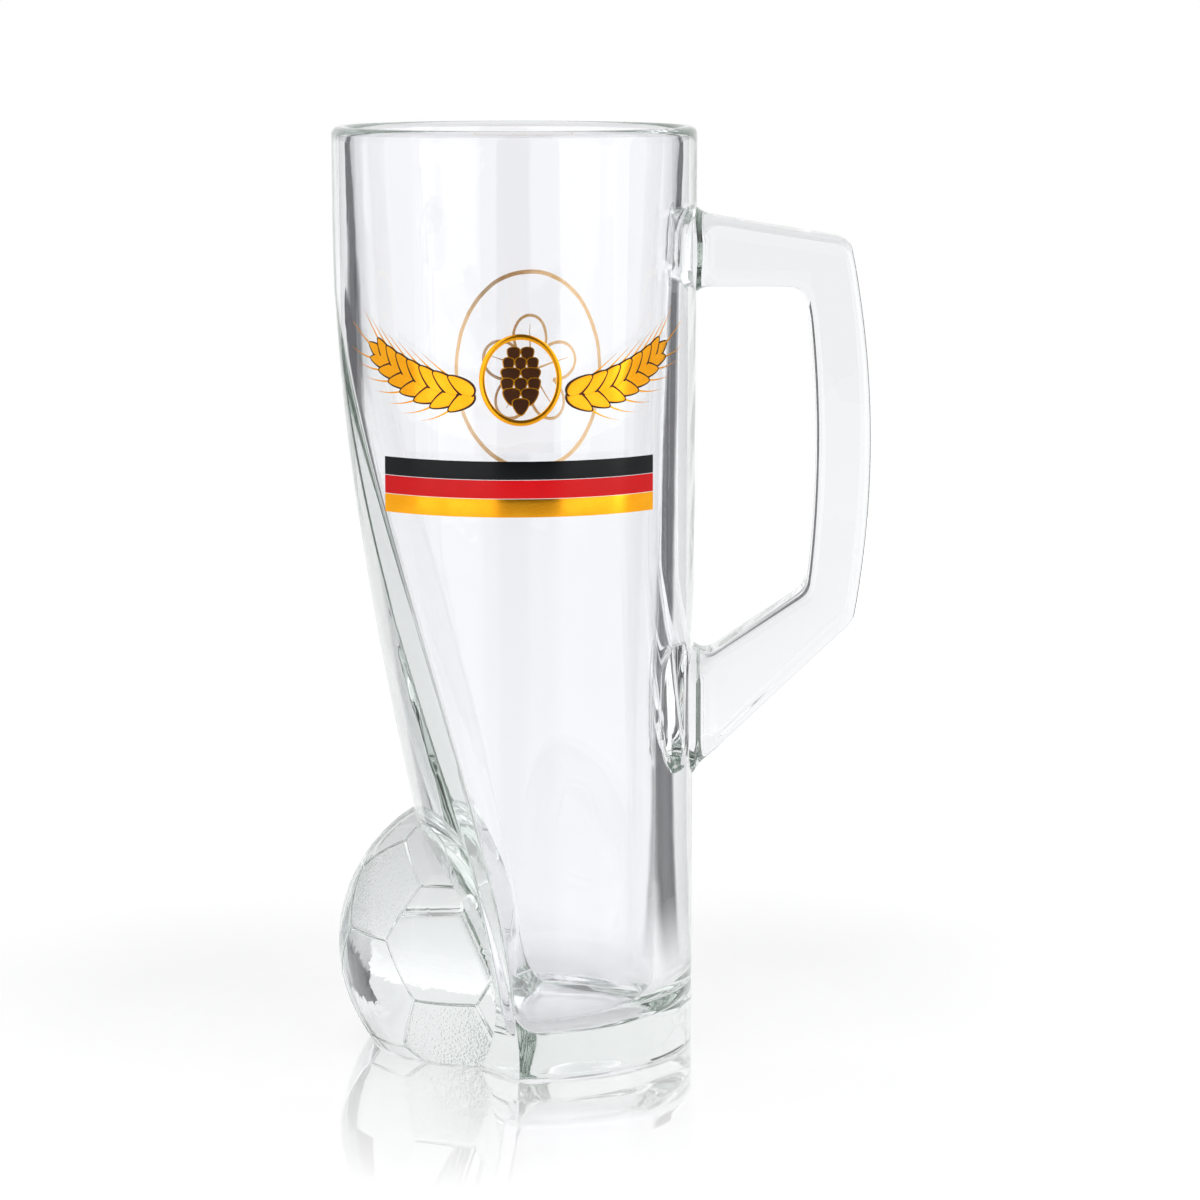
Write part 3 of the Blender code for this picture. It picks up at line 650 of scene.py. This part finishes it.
LEAF_NOTCH = 0.45
LEAF_SHARE = 0.97
VEIN_SHARE = 0.82
VEIN_STEPS = 16


def on_wall(v, spots, lift, side):
    """Wrap (distance round the wall, height) onto the round wall of the front or
    the back, raised by the lift."""
    s, z = spots[..., 0], spots[..., 1]
    radius = wall_radius(v, z)
    turn = side * s / radius
    return np.stack([(radius + lift) * np.sin(turn), -side * (radius + lift) * np.cos(turn), z], axis=-1)


def dome(v, loop, low, edge, high):
    """A raised spot of the front print: a closed loop stands up to an edge, then
    shrinks in rings to its middle and swells as a quarter circle."""
    middle = loop.mean(axis=0, keepdims=True)
    spots = middle + DOME_RINGS[:, None, None] * (loop - middle)
    lift = edge + (high - edge) * np.sqrt(1.0 - DOME_RINGS ** 2)
    lift[0] = low
    body = on_wall(v, spots, lift[:, None], FRONT).reshape(-1, 3)
    foot = on_wall(v, middle, low, FRONT)
    tip = on_wall(v, middle, high, FRONT)
    return np.concatenate([body, foot, tip]), capped_faces(len(DOME_RINGS), len(loop))


def line_on_wall(v, path, width, low, high, side, closed):
    """A raised line of print: a half-round section carried along a path of
    (distance round the wall, height) points. An open line ends square, or in a
    point where its width runs out."""
    if closed:
        path = np.concatenate([path, path[:1]])
        run = unit(np.roll(path[:-1], -1, axis=0) - np.roll(path[:-1], 1, axis=0))
        run = np.concatenate([run, run[:1]])
    else:
        run = unit(np.gradient(path, axis=0))
    half = np.broadcast_to(np.asarray(width) / 2.0, (len(path),))
    if not closed:
        path = np.concatenate([path[:1], path, path[-1:]])
        run = np.concatenate([run[:1], run, run[-1:]])
        half = np.concatenate([[0.0], half, [0.0]])
    across = np.stack([-run[:, 1], run[:, 0]], axis=-1)
    spots = path[:, None] + LINE_ACROSS[None, :, None] * (across * half[:, None])[:, None]
    lift = low + (high - low) * (LINE_EDGE + (1.0 - LINE_EDGE) * np.sqrt(1.0 - LINE_ACROSS ** 2))
    lift[[0, -1]] = low
    points = on_wall(v, spots, lift[None, :], side)
    rows, cols = points.shape[:2]
    return points.reshape(-1, 3), grid_faces(rows, cols)


def gather(name, shapes):
    """One mesh from several sets of points and faces."""
    points = []
    faces = []
    start = 0
    for spots, corners in shapes:
        points.append(spots)
        faces += [tuple(i + start for i in face) for face in corners]
        start += len(spots)
    return smooth(skin(name, np.concatenate(points), faces), PRINT_SHARP)


def oval(s, z, width, height, steps):
    """Points of an oval on the unrolled wall."""
    a = np.linspace(0.0, 2.0 * math.pi, steps, endpoint=False)
    return np.stack([s + width / 2.0 * np.cos(a), z + height / 2.0 * np.sin(a)], axis=-1)


def drops(tips, aims, lengths, widths):
    """Grain outlines: ovals drawn out to a point, growing from a tip along an aim."""
    a = np.linspace(0.0, 2.0 * math.pi, LOOP_STEPS, endpoint=False)
    u = (0.5 - 0.5 * np.cos(a)) * lengths[:, None]
    w = 0.5 * np.sin(a) * (1.15 + 0.45 * np.cos(a)) * widths[:, None]
    across = np.stack([-aims[:, 1], aims[:, 0]], axis=-1)
    return tips[:, None] + u[..., None] * aims[:, None] + w[..., None] * across[:, None]


def ear_parts(p, v, direction):
    """Roots, aims, size factors and order of the grains of one barley ear, which
    curves up as a parabola away from the middle of the motif. The grains splay
    less towards the tip, and the longest sit below the middle of the ear."""
    t = EAR_PAIRS
    s = p.motif_s + direction * (p.ear_start + p.ear_length * t)
    z = v.height - p.motif_drop - p.ear_below + p.ear_rise * t * t
    slope = np.arctan2(2.0 * p.ear_rise * t, np.full_like(t, p.ear_length))
    factor = 0.80 + 0.20 * np.sin(math.pi * (t + 0.12))
    roots = np.stack([s, z], axis=-1)
    splay = np.radians(34.0 - 14.0 * t)
    aims = [
        np.stack([direction * np.cos(slope + k), np.sin(slope + k)], axis=-1) for k in (splay, -splay)
    ]
    tip = np.stack([direction * np.cos(slope[-1:]), np.sin(slope[-1:])], axis=-1)
    where = np.concatenate([roots, roots, roots[-1:] + EAR_TIP * tip])
    aim = np.concatenate([*aims, tip])
    size = np.concatenate([factor, factor, factor[-1:]])
    order = np.concatenate([np.arange(len(t)), np.arange(len(t)) + 0.5, [len(t)]])
    return where, aim, size, order


def barley(p, v, direction):
    """Gold grains with bristles, each over its own brown outline. Grains nearer
    the root lie over the tips of the next ones."""
    where, aim, size, order = ear_parts(p, v, direction)
    long, broad = p.grain_length * size, p.grain_width * size
    wide = drops(where - p.outline * aim, aim, long + 2.0 * p.outline, broad + 2.0 * p.outline)
    bright = drops(where, aim, long, broad)
    gold = []
    brown = []
    for inner, outer, place in zip(bright, wide, order):
        level = p.layer * (FIRST_LEVEL + order.max() - place)
        brown.append(dome(v, outer, p.layer, level, level + UNDER_RISE * p.layer))
        gold.append(dome(v, inner, p.layer, level + OVER_EDGE * p.layer, level + p.swell))
    t = np.linspace(0.0, 1.0, AWN_STEPS)
    high = p.layer + p.relief / 3.0
    for tip, run in zip(where + aim * long[:, None] * AWN_START, aim):
        bent = unit(run + np.array([AWN_BEND * direction, AWN_BEND]))
        path = tip + p.awn_length * (t[:, None] * run + (t * t)[:, None] * (bent - run) * AWN_CURL)
        gold.append(line_on_wall(v, path, p.awn_width * (1.0 - t), p.layer, high, FRONT, False))
    return gather("barley_gold", gold), gather("barley_outline", brown)


def cone_scales(p, v, grow):
    """Scale outlines of the hop cone in overlapping rows, each with its level:
    rounded shields whose rows widen and narrow as a half wave."""
    a = np.linspace(0.0, 2.0 * math.pi, LOOP_STEPS, endpoint=False)
    tall = p.cone_height * 0.30
    scales = []
    for k, count in enumerate(CONE_ROWS):
        t = (k + 0.6) / len(CONE_ROWS)
        row = p.cone_width * math.sin(math.pi * (0.10 + 0.78 * t)) ** 0.6
        wide = row / max(count, 1.6) * 1.12
        z = v.height - p.motif_drop + p.cone_height * (t - 0.5)
        u = (wide / 2.0 + grow) * np.cos(a) * (0.9 + 0.25 * np.sin(a))
        w = (tall / 2.0 + grow) * np.sin(a) * (1.0 - 0.25 * np.sin(a))
        level = p.layer * (FIRST_LEVEL + CONE_LEVEL * (len(CONE_ROWS) - 1 - k))
        for i in range(count):
            s = p.motif_s + (i - (count - 1) / 2.0) * row / count
            scales.append((level, np.stack([s + u, z + w], axis=-1)))
    return scales


def hop_cone(p, v):
    """Brown scales, each with a gold edge, the lower rows lying over the upper."""
    gold = []
    brown = []
    for level, loop in cone_scales(p, v, 0.0):
        gold.append(dome(v, loop, p.layer, level, level + UNDER_RISE * p.layer))
    for level, loop in cone_scales(p, v, -0.7 * p.outline):
        brown.append(dome(v, loop, p.layer, level + OVER_EDGE * p.layer, level + 0.6 * p.layer))
    return gather("hop_cone_gold", gold), gather("hop_cone_brown", brown)


def leaf(p, v):
    """Leaf in outline, whose radius swings between notch and tip once for every
    lobe, with a vein from its middle to the tip of every lobe."""
    middle = np.array([p.frame_s, v.height - p.frame_drop])
    a = np.linspace(0.0, 2.0 * math.pi, LEAF_STEPS, endpoint=False)
    lobe = np.abs(np.cos(LEAF_LOBES / 2.0 * (a - math.pi / 2.0))) ** 0.7
    r = LEAF_SHARE * p.leaf_size * (LEAF_NOTCH + (1.0 - LEAF_NOTCH) * lobe)
    edge = middle + np.stack([r * np.cos(a), r * np.sin(a)], axis=-1)
    shapes = [line_on_wall(v, edge, p.leaf_line, p.layer, 3.0 * p.layer, BACK, True)]
    t = np.linspace(0.0, VEIN_SHARE, VEIN_STEPS)
    for k in range(LEAF_LOBES):
        b = math.pi / 2.0 + 2.0 * math.pi * k / LEAF_LOBES
        path = middle + t[:, None] * p.leaf_size * np.array([math.cos(b), math.sin(b)])
        width = p.leaf_line * (1.0 - t)
        shapes.append(line_on_wall(v, path, width, p.layer, 2.6 * p.layer, BACK, False))
    return gather("leaf_lines", shapes)


def stripe(p, v, down):
    """One straight stripe round the front, counted down from the upper one."""
    s = p.motif_s + p.stripe_length * (np.linspace(0.0, 1.0, STRIPE_STEPS) - 0.5)
    z = v.height - p.motif_drop - p.stripe_below - p.stripe_height / 2.0
    z -= down * (p.stripe_height + p.stripe_gap)
    path = np.stack([s, np.full_like(s, z)], axis=-1)
    return line_on_wall(v, path, p.stripe_height, p.layer, 2.0 * p.layer, FRONT, False)


# Materials
WHITE = (1.0, 1.0, 1.0, 1.0)
RIPPLE_SIZE = 0.014
CLOUD_SIZE = 0.004


def add(tree, kind, inputs=None, **settings):
    """Add one node with its settings. An input is given as a value, as a socket,
    or as a node, which stands for its first output."""
    node = tree.nodes.new("ShaderNode" + kind)
    for key, value in settings.items():
        setattr(node, key, value)
    for key, value in (inputs or {}).items():
        if isinstance(value, bpy.types.Node):
            value = value.outputs[0]
        if isinstance(value, bpy.types.NodeSocket):
            tree.links.new(value, node.inputs[key])
        else:
            node.inputs[key].default_value = value
    return node


def maths(tree, operation, *values):
    """Add a node that does one step of arithmetic."""
    return add(tree, "Math", dict(enumerate(values)), operation=operation)


def ramp(tree, value, start, end, low=0.0, high=1.0, kind="LINEAR"):
    """Add a node that goes from low to high while the value goes from start to end."""
    inputs = dict(enumerate((value, start, end, low, high)))
    return add(tree, "MapRange", inputs, interpolation_type=kind)


def noise(tree, place, size, detail, rough=0.5):
    """Add a cloudy pattern whose blobs are about as wide as the size."""
    return add(tree, "TexNoise", {
        "Vector": place, "Scale": 1.0 / size, "Detail": detail, "Roughness": rough
    })


def new_material(name):
    """A material that has no nodes yet."""
    mat = bpy.data.materials.new(name)
    mat.use_nodes = True
    mat.node_tree.nodes.clear()
    return mat, mat.node_tree


def clear_glass(colours, grain_size):
    """Pressed soda-lime glass: clear, fire-polished, faintly rippled by the mould,
    grained on the football's pentagons, grey-green where the eye looks through a
    lot of it. The grain is drawn coarser than the real one, which is too fine to
    show in the picture."""
    mat, tree = new_material("pressed_soda_lime_glass")
    place = add(tree, "TexCoord").outputs["Object"]
    where = add(tree, "Attribute", attribute_name=GRAIN).outputs["Fac"]
    ripple = noise(tree, place, RIPPLE_SIZE, detail=2.0, rough=0.4)
    wave = add(tree, "Bump", {"Height": ripple, "Strength": 0.15, "Distance": 0.0003})
    speck = noise(tree, place, grain_size, detail=2.0)
    rise = maths(tree, "MULTIPLY", speck, where)
    bump = add(tree, "Bump", {
        "Height": rise, "Normal": wave, "Strength": 0.8, "Distance": 0.00022
    })
    matt = maths(tree, "MULTIPLY", where, 0.03)
    glass = add(tree, "BsdfPrincipled", {
        "Base Color": (*colours.glass, 1.0), "IOR": 1.52, "Transmission Weight": 1.0,
        "Roughness": matt, "Normal": bump
    })
    depth = add(tree, "VolumeAbsorption", {"Color": (*colours.depth, 1.0), "Density": 6.0})
    add(tree, "OutputMaterial", {"Surface": glass, "Volume": depth})
    return mat


def fired(name, plain, cloudy, metal, rough, speck):
    """Fired-on print: a thin layer clouded between two shades, with the mesh of
    the printing screen in its surface, drawn coarser than the real one, which is
    too fine to show."""
    mat, tree = new_material(name)
    place = add(tree, "TexCoord").outputs["Object"]
    cloud = noise(tree, place, CLOUD_SIZE, detail=3.0)
    shades = {"A": (*plain, 1.0), "B": (*cloudy, 1.0), "Factor": cloud}
    colour = add(tree, "Mix", shades, data_type="RGBA")
    mesh = noise(tree, place, speck, detail=1.0)
    bump = add(tree, "Bump", {"Height": mesh, "Strength": 0.25, "Distance": 0.00003})
    layer = add(tree, "BsdfPrincipled", {
        "Metallic": metal, "Roughness": rough, "Specular IOR Level": 0.5 if metal else 0.2,
        "Base Color": colour.outputs["Result"], "Normal": bump
    })
    add(tree, "OutputMaterial", {"Surface": layer})
    return mat


def show(name, mesh, material, slot_name, *nodes):
    """Put a finished piece in the scene, riding on the mug in place of its nodes."""
    obj = bpy.data.objects.new(name, mesh)
    mesh.materials.clear()
    mesh.materials.append(material)
    bpy.context.scene.collection.objects.link(obj)
    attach(obj, "root")
    if nodes:
        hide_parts(*nodes)
    return obj


def combine(name, operation, meshes):
    """Boolean of closed meshes, the first one changed by each of the others."""
    scene = bpy.context.scene
    objs = [bpy.data.objects.new(name + "_blank", m) for m in meshes]
    for obj in objs:
        scene.collection.objects.link(obj)
    for other in objs[1:]:
        mod = objs[0].modifiers.new(operation.lower(), "BOOLEAN")
        mod.operation = operation
        mod.solver = "EXACT"
        mod.object = other
    graph = bpy.context.evaluated_depsgraph_get()
    mesh = bpy.data.meshes.new_from_object(objs[0].evaluated_get(graph))
    for obj in objs:
        bpy.data.objects.remove(obj, do_unlink=True)
    mesh.name = name
    return mesh


class MUG_OT_glass(bpy.types.Operator):
    """Build the glass: vessel, football foot and handle melted into one skin"""

    bl_idname = "mug.glass"
    bl_label = "Glass"

    def execute(self, context):
        scene = context.scene
        v = scene.mug_vessel
        b = scene.mug_football
        ball = combine("football", "DIFFERENCE", [football_skin(b), seat_skin(v)])
        mesh = combine("mug_glass", "UNION", [vessel_skin(v), ball, handle_skin(scene.mug_handle, v)])
        mark_grain(smooth(mesh, GLASS_SHARP), b)
        material = clear_glass(scene.mug_colours, b.grain_size)
        show("mug_glass", mesh, material, "clear_glass", "glass_body", "football_foot", "handle")
        return {"FINISHED"}


class MUG_OT_front_print(bpy.types.Operator):
    """Build the front print: barley, ring, hop cone and stripes"""

    bl_idname = "mug.front_print"
    bl_label = "Front print"

    def execute(self, context):
        p = context.scene.mug_print
        v = context.scene.mug_vessel
        c = context.scene.mug_colours
        gold = fired("burnished_gold", c.gold, c.gold_dark, metal=1.0, rough=0.18, speck=0.0005)
        brown = fired("brown_enamel", c.brown, c.brown_dark, metal=0.0, rough=0.30, speck=0.0004)
        black = fired("black_enamel", c.black, c.black_light, metal=0.0, rough=0.22, speck=0.0004)
        red = fired("red_enamel", c.red, c.red_dark, metal=0.0, rough=0.25, speck=0.0004)
        for name, direction in (("left", -1.0), ("right", 1.0)):
            bright, edge = barley(p, v, direction)
            show("barley_" + name, bright, gold, "gold_lustre", "front_barley_" + name)
            show("barley_" + name + "_outline", edge, brown, "brown_enamel")
        z = v.height - p.motif_drop
        loop = oval(p.motif_s, z, p.ring_width - p.ring_line, p.ring_height - p.ring_line, OVAL_STEPS)
        ring = line_on_wall(v, loop, p.ring_line, p.layer, p.layer + p.relief, FRONT, True)
        show("hop_ring", gather("hop_ring", [ring]), gold, "gold_lustre", "front_ring")
        edge, scales = hop_cone(p, v)
        show("hop_cone", scales, brown, "brown_enamel", "front_hop_cone")
        show("hop_cone_edges", edge, gold, "gold_lustre")
        for down, (name, material) in enumerate((("black", black), ("red", red), ("gold", gold))):
            mesh = gather("stripe_" + name, [stripe(p, v, down)])
            slot_name = "gold_lustre" if name == "gold" else name + "_enamel"
            show("printed_stripe_" + name, mesh, material, slot_name, "stripe_" + name)
        return {"FINISHED"}


class MUG_OT_back_print(bpy.types.Operator):
    """Build the back print: an oval and a leaf in thin lines"""

    bl_idname = "mug.back_print"
    bl_label = "Back print"

    def execute(self, context):
        p = context.scene.mug_print
        v = context.scene.mug_vessel
        c = context.scene.mug_colours
        pale = fired("pale_gold", c.pale, c.pale_dark, metal=1.0, rough=0.30, speck=0.0005)
        z = v.height - p.frame_drop
        wide, tall = p.frame_width - p.frame_line, p.frame_height - p.frame_line
        loop = oval(p.frame_s, z, wide, tall, FRAME_STEPS)
        ring = line_on_wall(v, loop, p.frame_line, p.layer, 3.0 * p.layer, BACK, True)
        show("oval_line", gather("oval_line", [ring]), pale, "pale_gold_lustre", "back_oval_frame")
        show("leaf_lines", leaf(p, v), pale, "pale_gold_lustre", "back_hop_leaf")
        return {"FINISHED"}


class MUG_OT_stage(bpy.types.Operator):
    """Set up floor, backdrop, lamps and camera"""

    bl_idname = "mug.stage"
    bl_label = "Studio"

    def execute(self, context):
        stage(context.scene)
        return {"FINISHED"}


# Stage: a white set round the mug, in metres from the mug's axis.
SET_TOP = 1.2
SET_BACK = 0.9
SET_SIDE = 1.0
BACKDROP_SIDE = 0.7
BACKDROP_FOOT = -0.3
CARD_FRONT = -0.48
CARD_BACK = 0.5
CORNER_FOOT = 0.22
FLOOR_SIDE = 1.5
FLOOR_LEVEL = -0.0002
LAMP_AWAY = 0.9
LAMP_HIGH = 0.40
LAMP_TILT = math.radians(75.0)
ROOM = (0.12, 0.12, 0.125, 1.0)
# Grey of the painted shade on the floor, seen only through the glass and in reflections.
PAINTED_SHADE_GREY = (0.12, 0.12, 0.13, 1.0)
SHEET = (0.9, 0.9, 0.9, 1.0)
BOUNCES = 48


def plane(name, corners, material):
    """A flat sheet of the set."""
    mesh = bpy.data.meshes.new(name)
    mesh.from_pydata(corners, [], [tuple(range(len(corners)))])
    mesh.materials.append(material)
    obj = bpy.data.objects.new(name, mesh)
    bpy.context.scene.collection.objects.link(obj)
    return obj


def wall(name, start, end, foot, material):
    """An upright sheet of the set between two places on the floor plan."""
    return plane(name, [(*start, foot), (*end, foot), (*end, SET_TOP), (*start, SET_TOP)], material)


def seen_rays(tree):
    """One for a ray that looks through glass or at a reflection, and one for the
    camera's own rays."""
    path = add(tree, "LightPath").outputs
    bent = maths(tree, "MAXIMUM", path["Is Glossy Ray"], path["Is Transmission Ray"])
    return bent, path["Is Camera Ray"]


def backdrop_material():
    """White paper wall that is seen but lights nothing."""
    mat, tree = new_material("white_paper_wall")
    bent, direct = seen_rays(tree)
    seen = maths(tree, "MAXIMUM", bent, direct)
    glow = add(tree, "Emission", {"Color": WHITE, "Strength": seen})
    add(tree, "OutputMaterial", {"Surface": glow})
    return mat


def floor_material():
    """White acrylic sheet. To the camera it is white and keeps the mug's shadow,
    polished round the mug and matt further out, so that the mirror image fades.
    Seen through the glass it is bright behind the mug, with painted shade in two
    wedges beside that: a dim glow standing in for the shade of black cards, which
    draws the dark edges of the glass."""
    mat, tree = new_material("white_acrylic_floor")
    bent, direct = seen_rays(tree)
    place = add(tree, "TexCoord").outputs["Object"]
    part = add(tree, "SeparateXYZ", {0: place}).outputs
    away = add(tree, "VectorMath", {0: place}, operation="LENGTH").outputs["Value"]

    # Painted shade: two dim wedges either side behind the mug, seen only through the glass and in
    # reflections, as if under black cards.
    across = maths(tree, "ABSOLUTE", part["X"])
    angle = maths(tree, "ARCTAN2", across, part["Y"])
    near = ramp(tree, angle, math.radians(36.0), math.radians(43.0), kind="SMOOTHSTEP")
    far = ramp(tree, angle, math.radians(58.0), math.radians(74.0), kind="SMOOTHSTEP")
    wedge = maths(tree, "SUBTRACT", near, far)
    beyond = ramp(tree, away, 0.08, 0.16)
    card = maths(tree, "MULTIPLY", wedge, beyond)
    shade = maths(tree, "MULTIPLY", card, bent)
    glow = maths(tree, "MULTIPLY", bent, 0.40)
    sheet = add(tree, "BsdfPrincipled", {
        "Base Color": SHEET, "Roughness": 0.03, "IOR": 1.5, "Emission Color": WHITE,
        "Emission Strength": glow
    })
    dim = add(tree, "Emission", {"Color": PAINTED_SHADE_GREY})
    through = add(tree, "MixShader", {0: shade, 1: sheet, 2: dim})

    lift = ramp(tree, away, 0.10, 0.50, low=0.52, high=1.00)
    matte = add(tree, "BsdfPrincipled", {
        "Base Color": SHEET, "Roughness": 1.0, "Specular IOR Level": 0.0, "Emission Color": WHITE,
        "Emission Strength": lift
    })
    mirror = add(tree, "BsdfGlossy", {"Color": WHITE, "Roughness": 0.02})
    polish = ramp(tree, away, 0.040, 0.125, low=0.60, high=0.0)
    seen = add(tree, "MixShader", {0: polish, 1: matte, 2: mirror})
    whole = add(tree, "MixShader", {0: direct, 1: through, 2: seen})
    add(tree, "OutputMaterial", {"Surface": whole})
    return mat


def softbox(scene, name, place, turn, width, height, level):
    """A soft lamp out of the camera's sight. Its level is how bright its face is."""
    data = bpy.data.lights.new(name, "AREA")
    data.shape = "RECTANGLE"
    data.size = width
    data.size_y = height
    data.energy = level * math.pi * data.size * data.size_y
    lamp = bpy.data.objects.new(name, data)
    lamp.location = place
    lamp.rotation_euler = turn
    lamp.visible_camera = False
    scene.collection.objects.link(lamp)


def stage(scene):
    """White floor and set, three soft lamps, a room that is white to the camera
    and dim to everything else, and the photo's camera."""
    paper = backdrop_material()
    wall("backdrop", (-BACKDROP_SIDE, SET_BACK), (BACKDROP_SIDE, SET_BACK), BACKDROP_FOOT, paper)
    for name, side in (("left", -1.0), ("right", 1.0)):
        near, far = side * SET_SIDE, side * BACKDROP_SIDE
        wall("card_" + name, (near, CARD_FRONT), (near, CARD_BACK), 0.0, paper)
        wall("corner_" + name, (near, CARD_BACK), (far, SET_BACK), CORNER_FOOT, paper)
    plan = [(-FLOOR_SIDE, -FLOOR_SIDE), (FLOOR_SIDE, -FLOOR_SIDE)]
    plan += [(FLOOR_SIDE, SET_BACK), (-FLOOR_SIDE, SET_BACK)]
    plane("floor", [(x, y, FLOOR_LEVEL) for x, y in plan], floor_material())

    for name, angle in (("softbox_left", -37.0), ("softbox_right", 56.0)):
        a = math.radians(angle)
        place = (LAMP_AWAY * math.sin(a), -LAMP_AWAY * math.cos(a), LAMP_HIGH)
        softbox(scene, name, place, (LAMP_TILT, 0.0, a), width=1.0, height=1.2, level=1.3)
    above = (0.0, 0.2, 1.0)
    softbox(scene, "softbox_top", above, (0.0, 0.0, 0.0), width=0.8, height=0.8, level=1.2)

    world = bpy.data.worlds.new("studio")
    world.use_nodes = True
    tree = world.node_tree
    direct = seen_rays(tree)[1]
    room = add(tree, "Mix", {"A": ROOM, "B": WHITE, "Factor": direct}, data_type="RGBA")
    tree.links.new(room.outputs["Result"], tree.nodes["Background"].inputs["Color"])
    scene.world = world

    lens = bpy.data.cameras.new("photo_camera")
    lens.lens = 117.27
    lens.sensor_width = 36.0
    cam = bpy.data.objects.new("photo_camera", lens)
    cam.location = (0.0187, -0.860, 0.230)
    cam.rotation_euler = (math.radians(81.35), 0.0, 0.0)
    scene.collection.objects.link(cam)
    scene.camera = cam
    scene.view_settings.view_transform = "Standard"
    scene.cycles.max_bounces = BOUNCES
    scene.cycles.glossy_bounces = BOUNCES
    scene.cycles.transmission_bounces = BOUNCES


class MUG_PT_panel(bpy.types.Panel):
    """Lists the mug's pieces"""

    bl_idname = "MUG_PT_panel"
    bl_label = "Beer mug"
    bl_space_type = "VIEW_3D"
    bl_region_type = "UI"
    bl_category = "Mug"

    def draw(self, context):
        for kind in OPERATORS:
            self.layout.operator(kind.bl_idname)


GROUPS = {
    "mug_vessel": VesselSizes,
    "mug_football": FootballSizes,
    "mug_handle": HandleSizes,
    "mug_print": PrintSizes,
    "mug_colours": MugColours,
}
OPERATORS = (MUG_OT_glass, MUG_OT_front_print, MUG_OT_back_print, MUG_OT_stage)


def register():
    """Register every class and hang the sizes on the scene."""
    for kind in (*GROUPS.values(), *OPERATORS, MUG_PT_panel):
        bpy.utils.register_class(kind)
    for name, kind in GROUPS.items():
        setattr(bpy.types.Scene, name, bpy.props.PointerProperty(type=kind))


def unregister():
    """Take the sizes and the classes away again."""
    for name in GROUPS:
        delattr(bpy.types.Scene, name)
    for kind in (MUG_PT_panel, *OPERATORS, *GROUPS.values()):
        bpy.utils.unregister_class(kind)


def main():
    """Register the sizes on the scene and build every piece in order."""
    register()
    bpy.ops.mug.glass()
    bpy.ops.mug.front_print()
    bpy.ops.mug.back_print()
    bpy.ops.mug.stage()


if __name__ == "__main__":
    main()
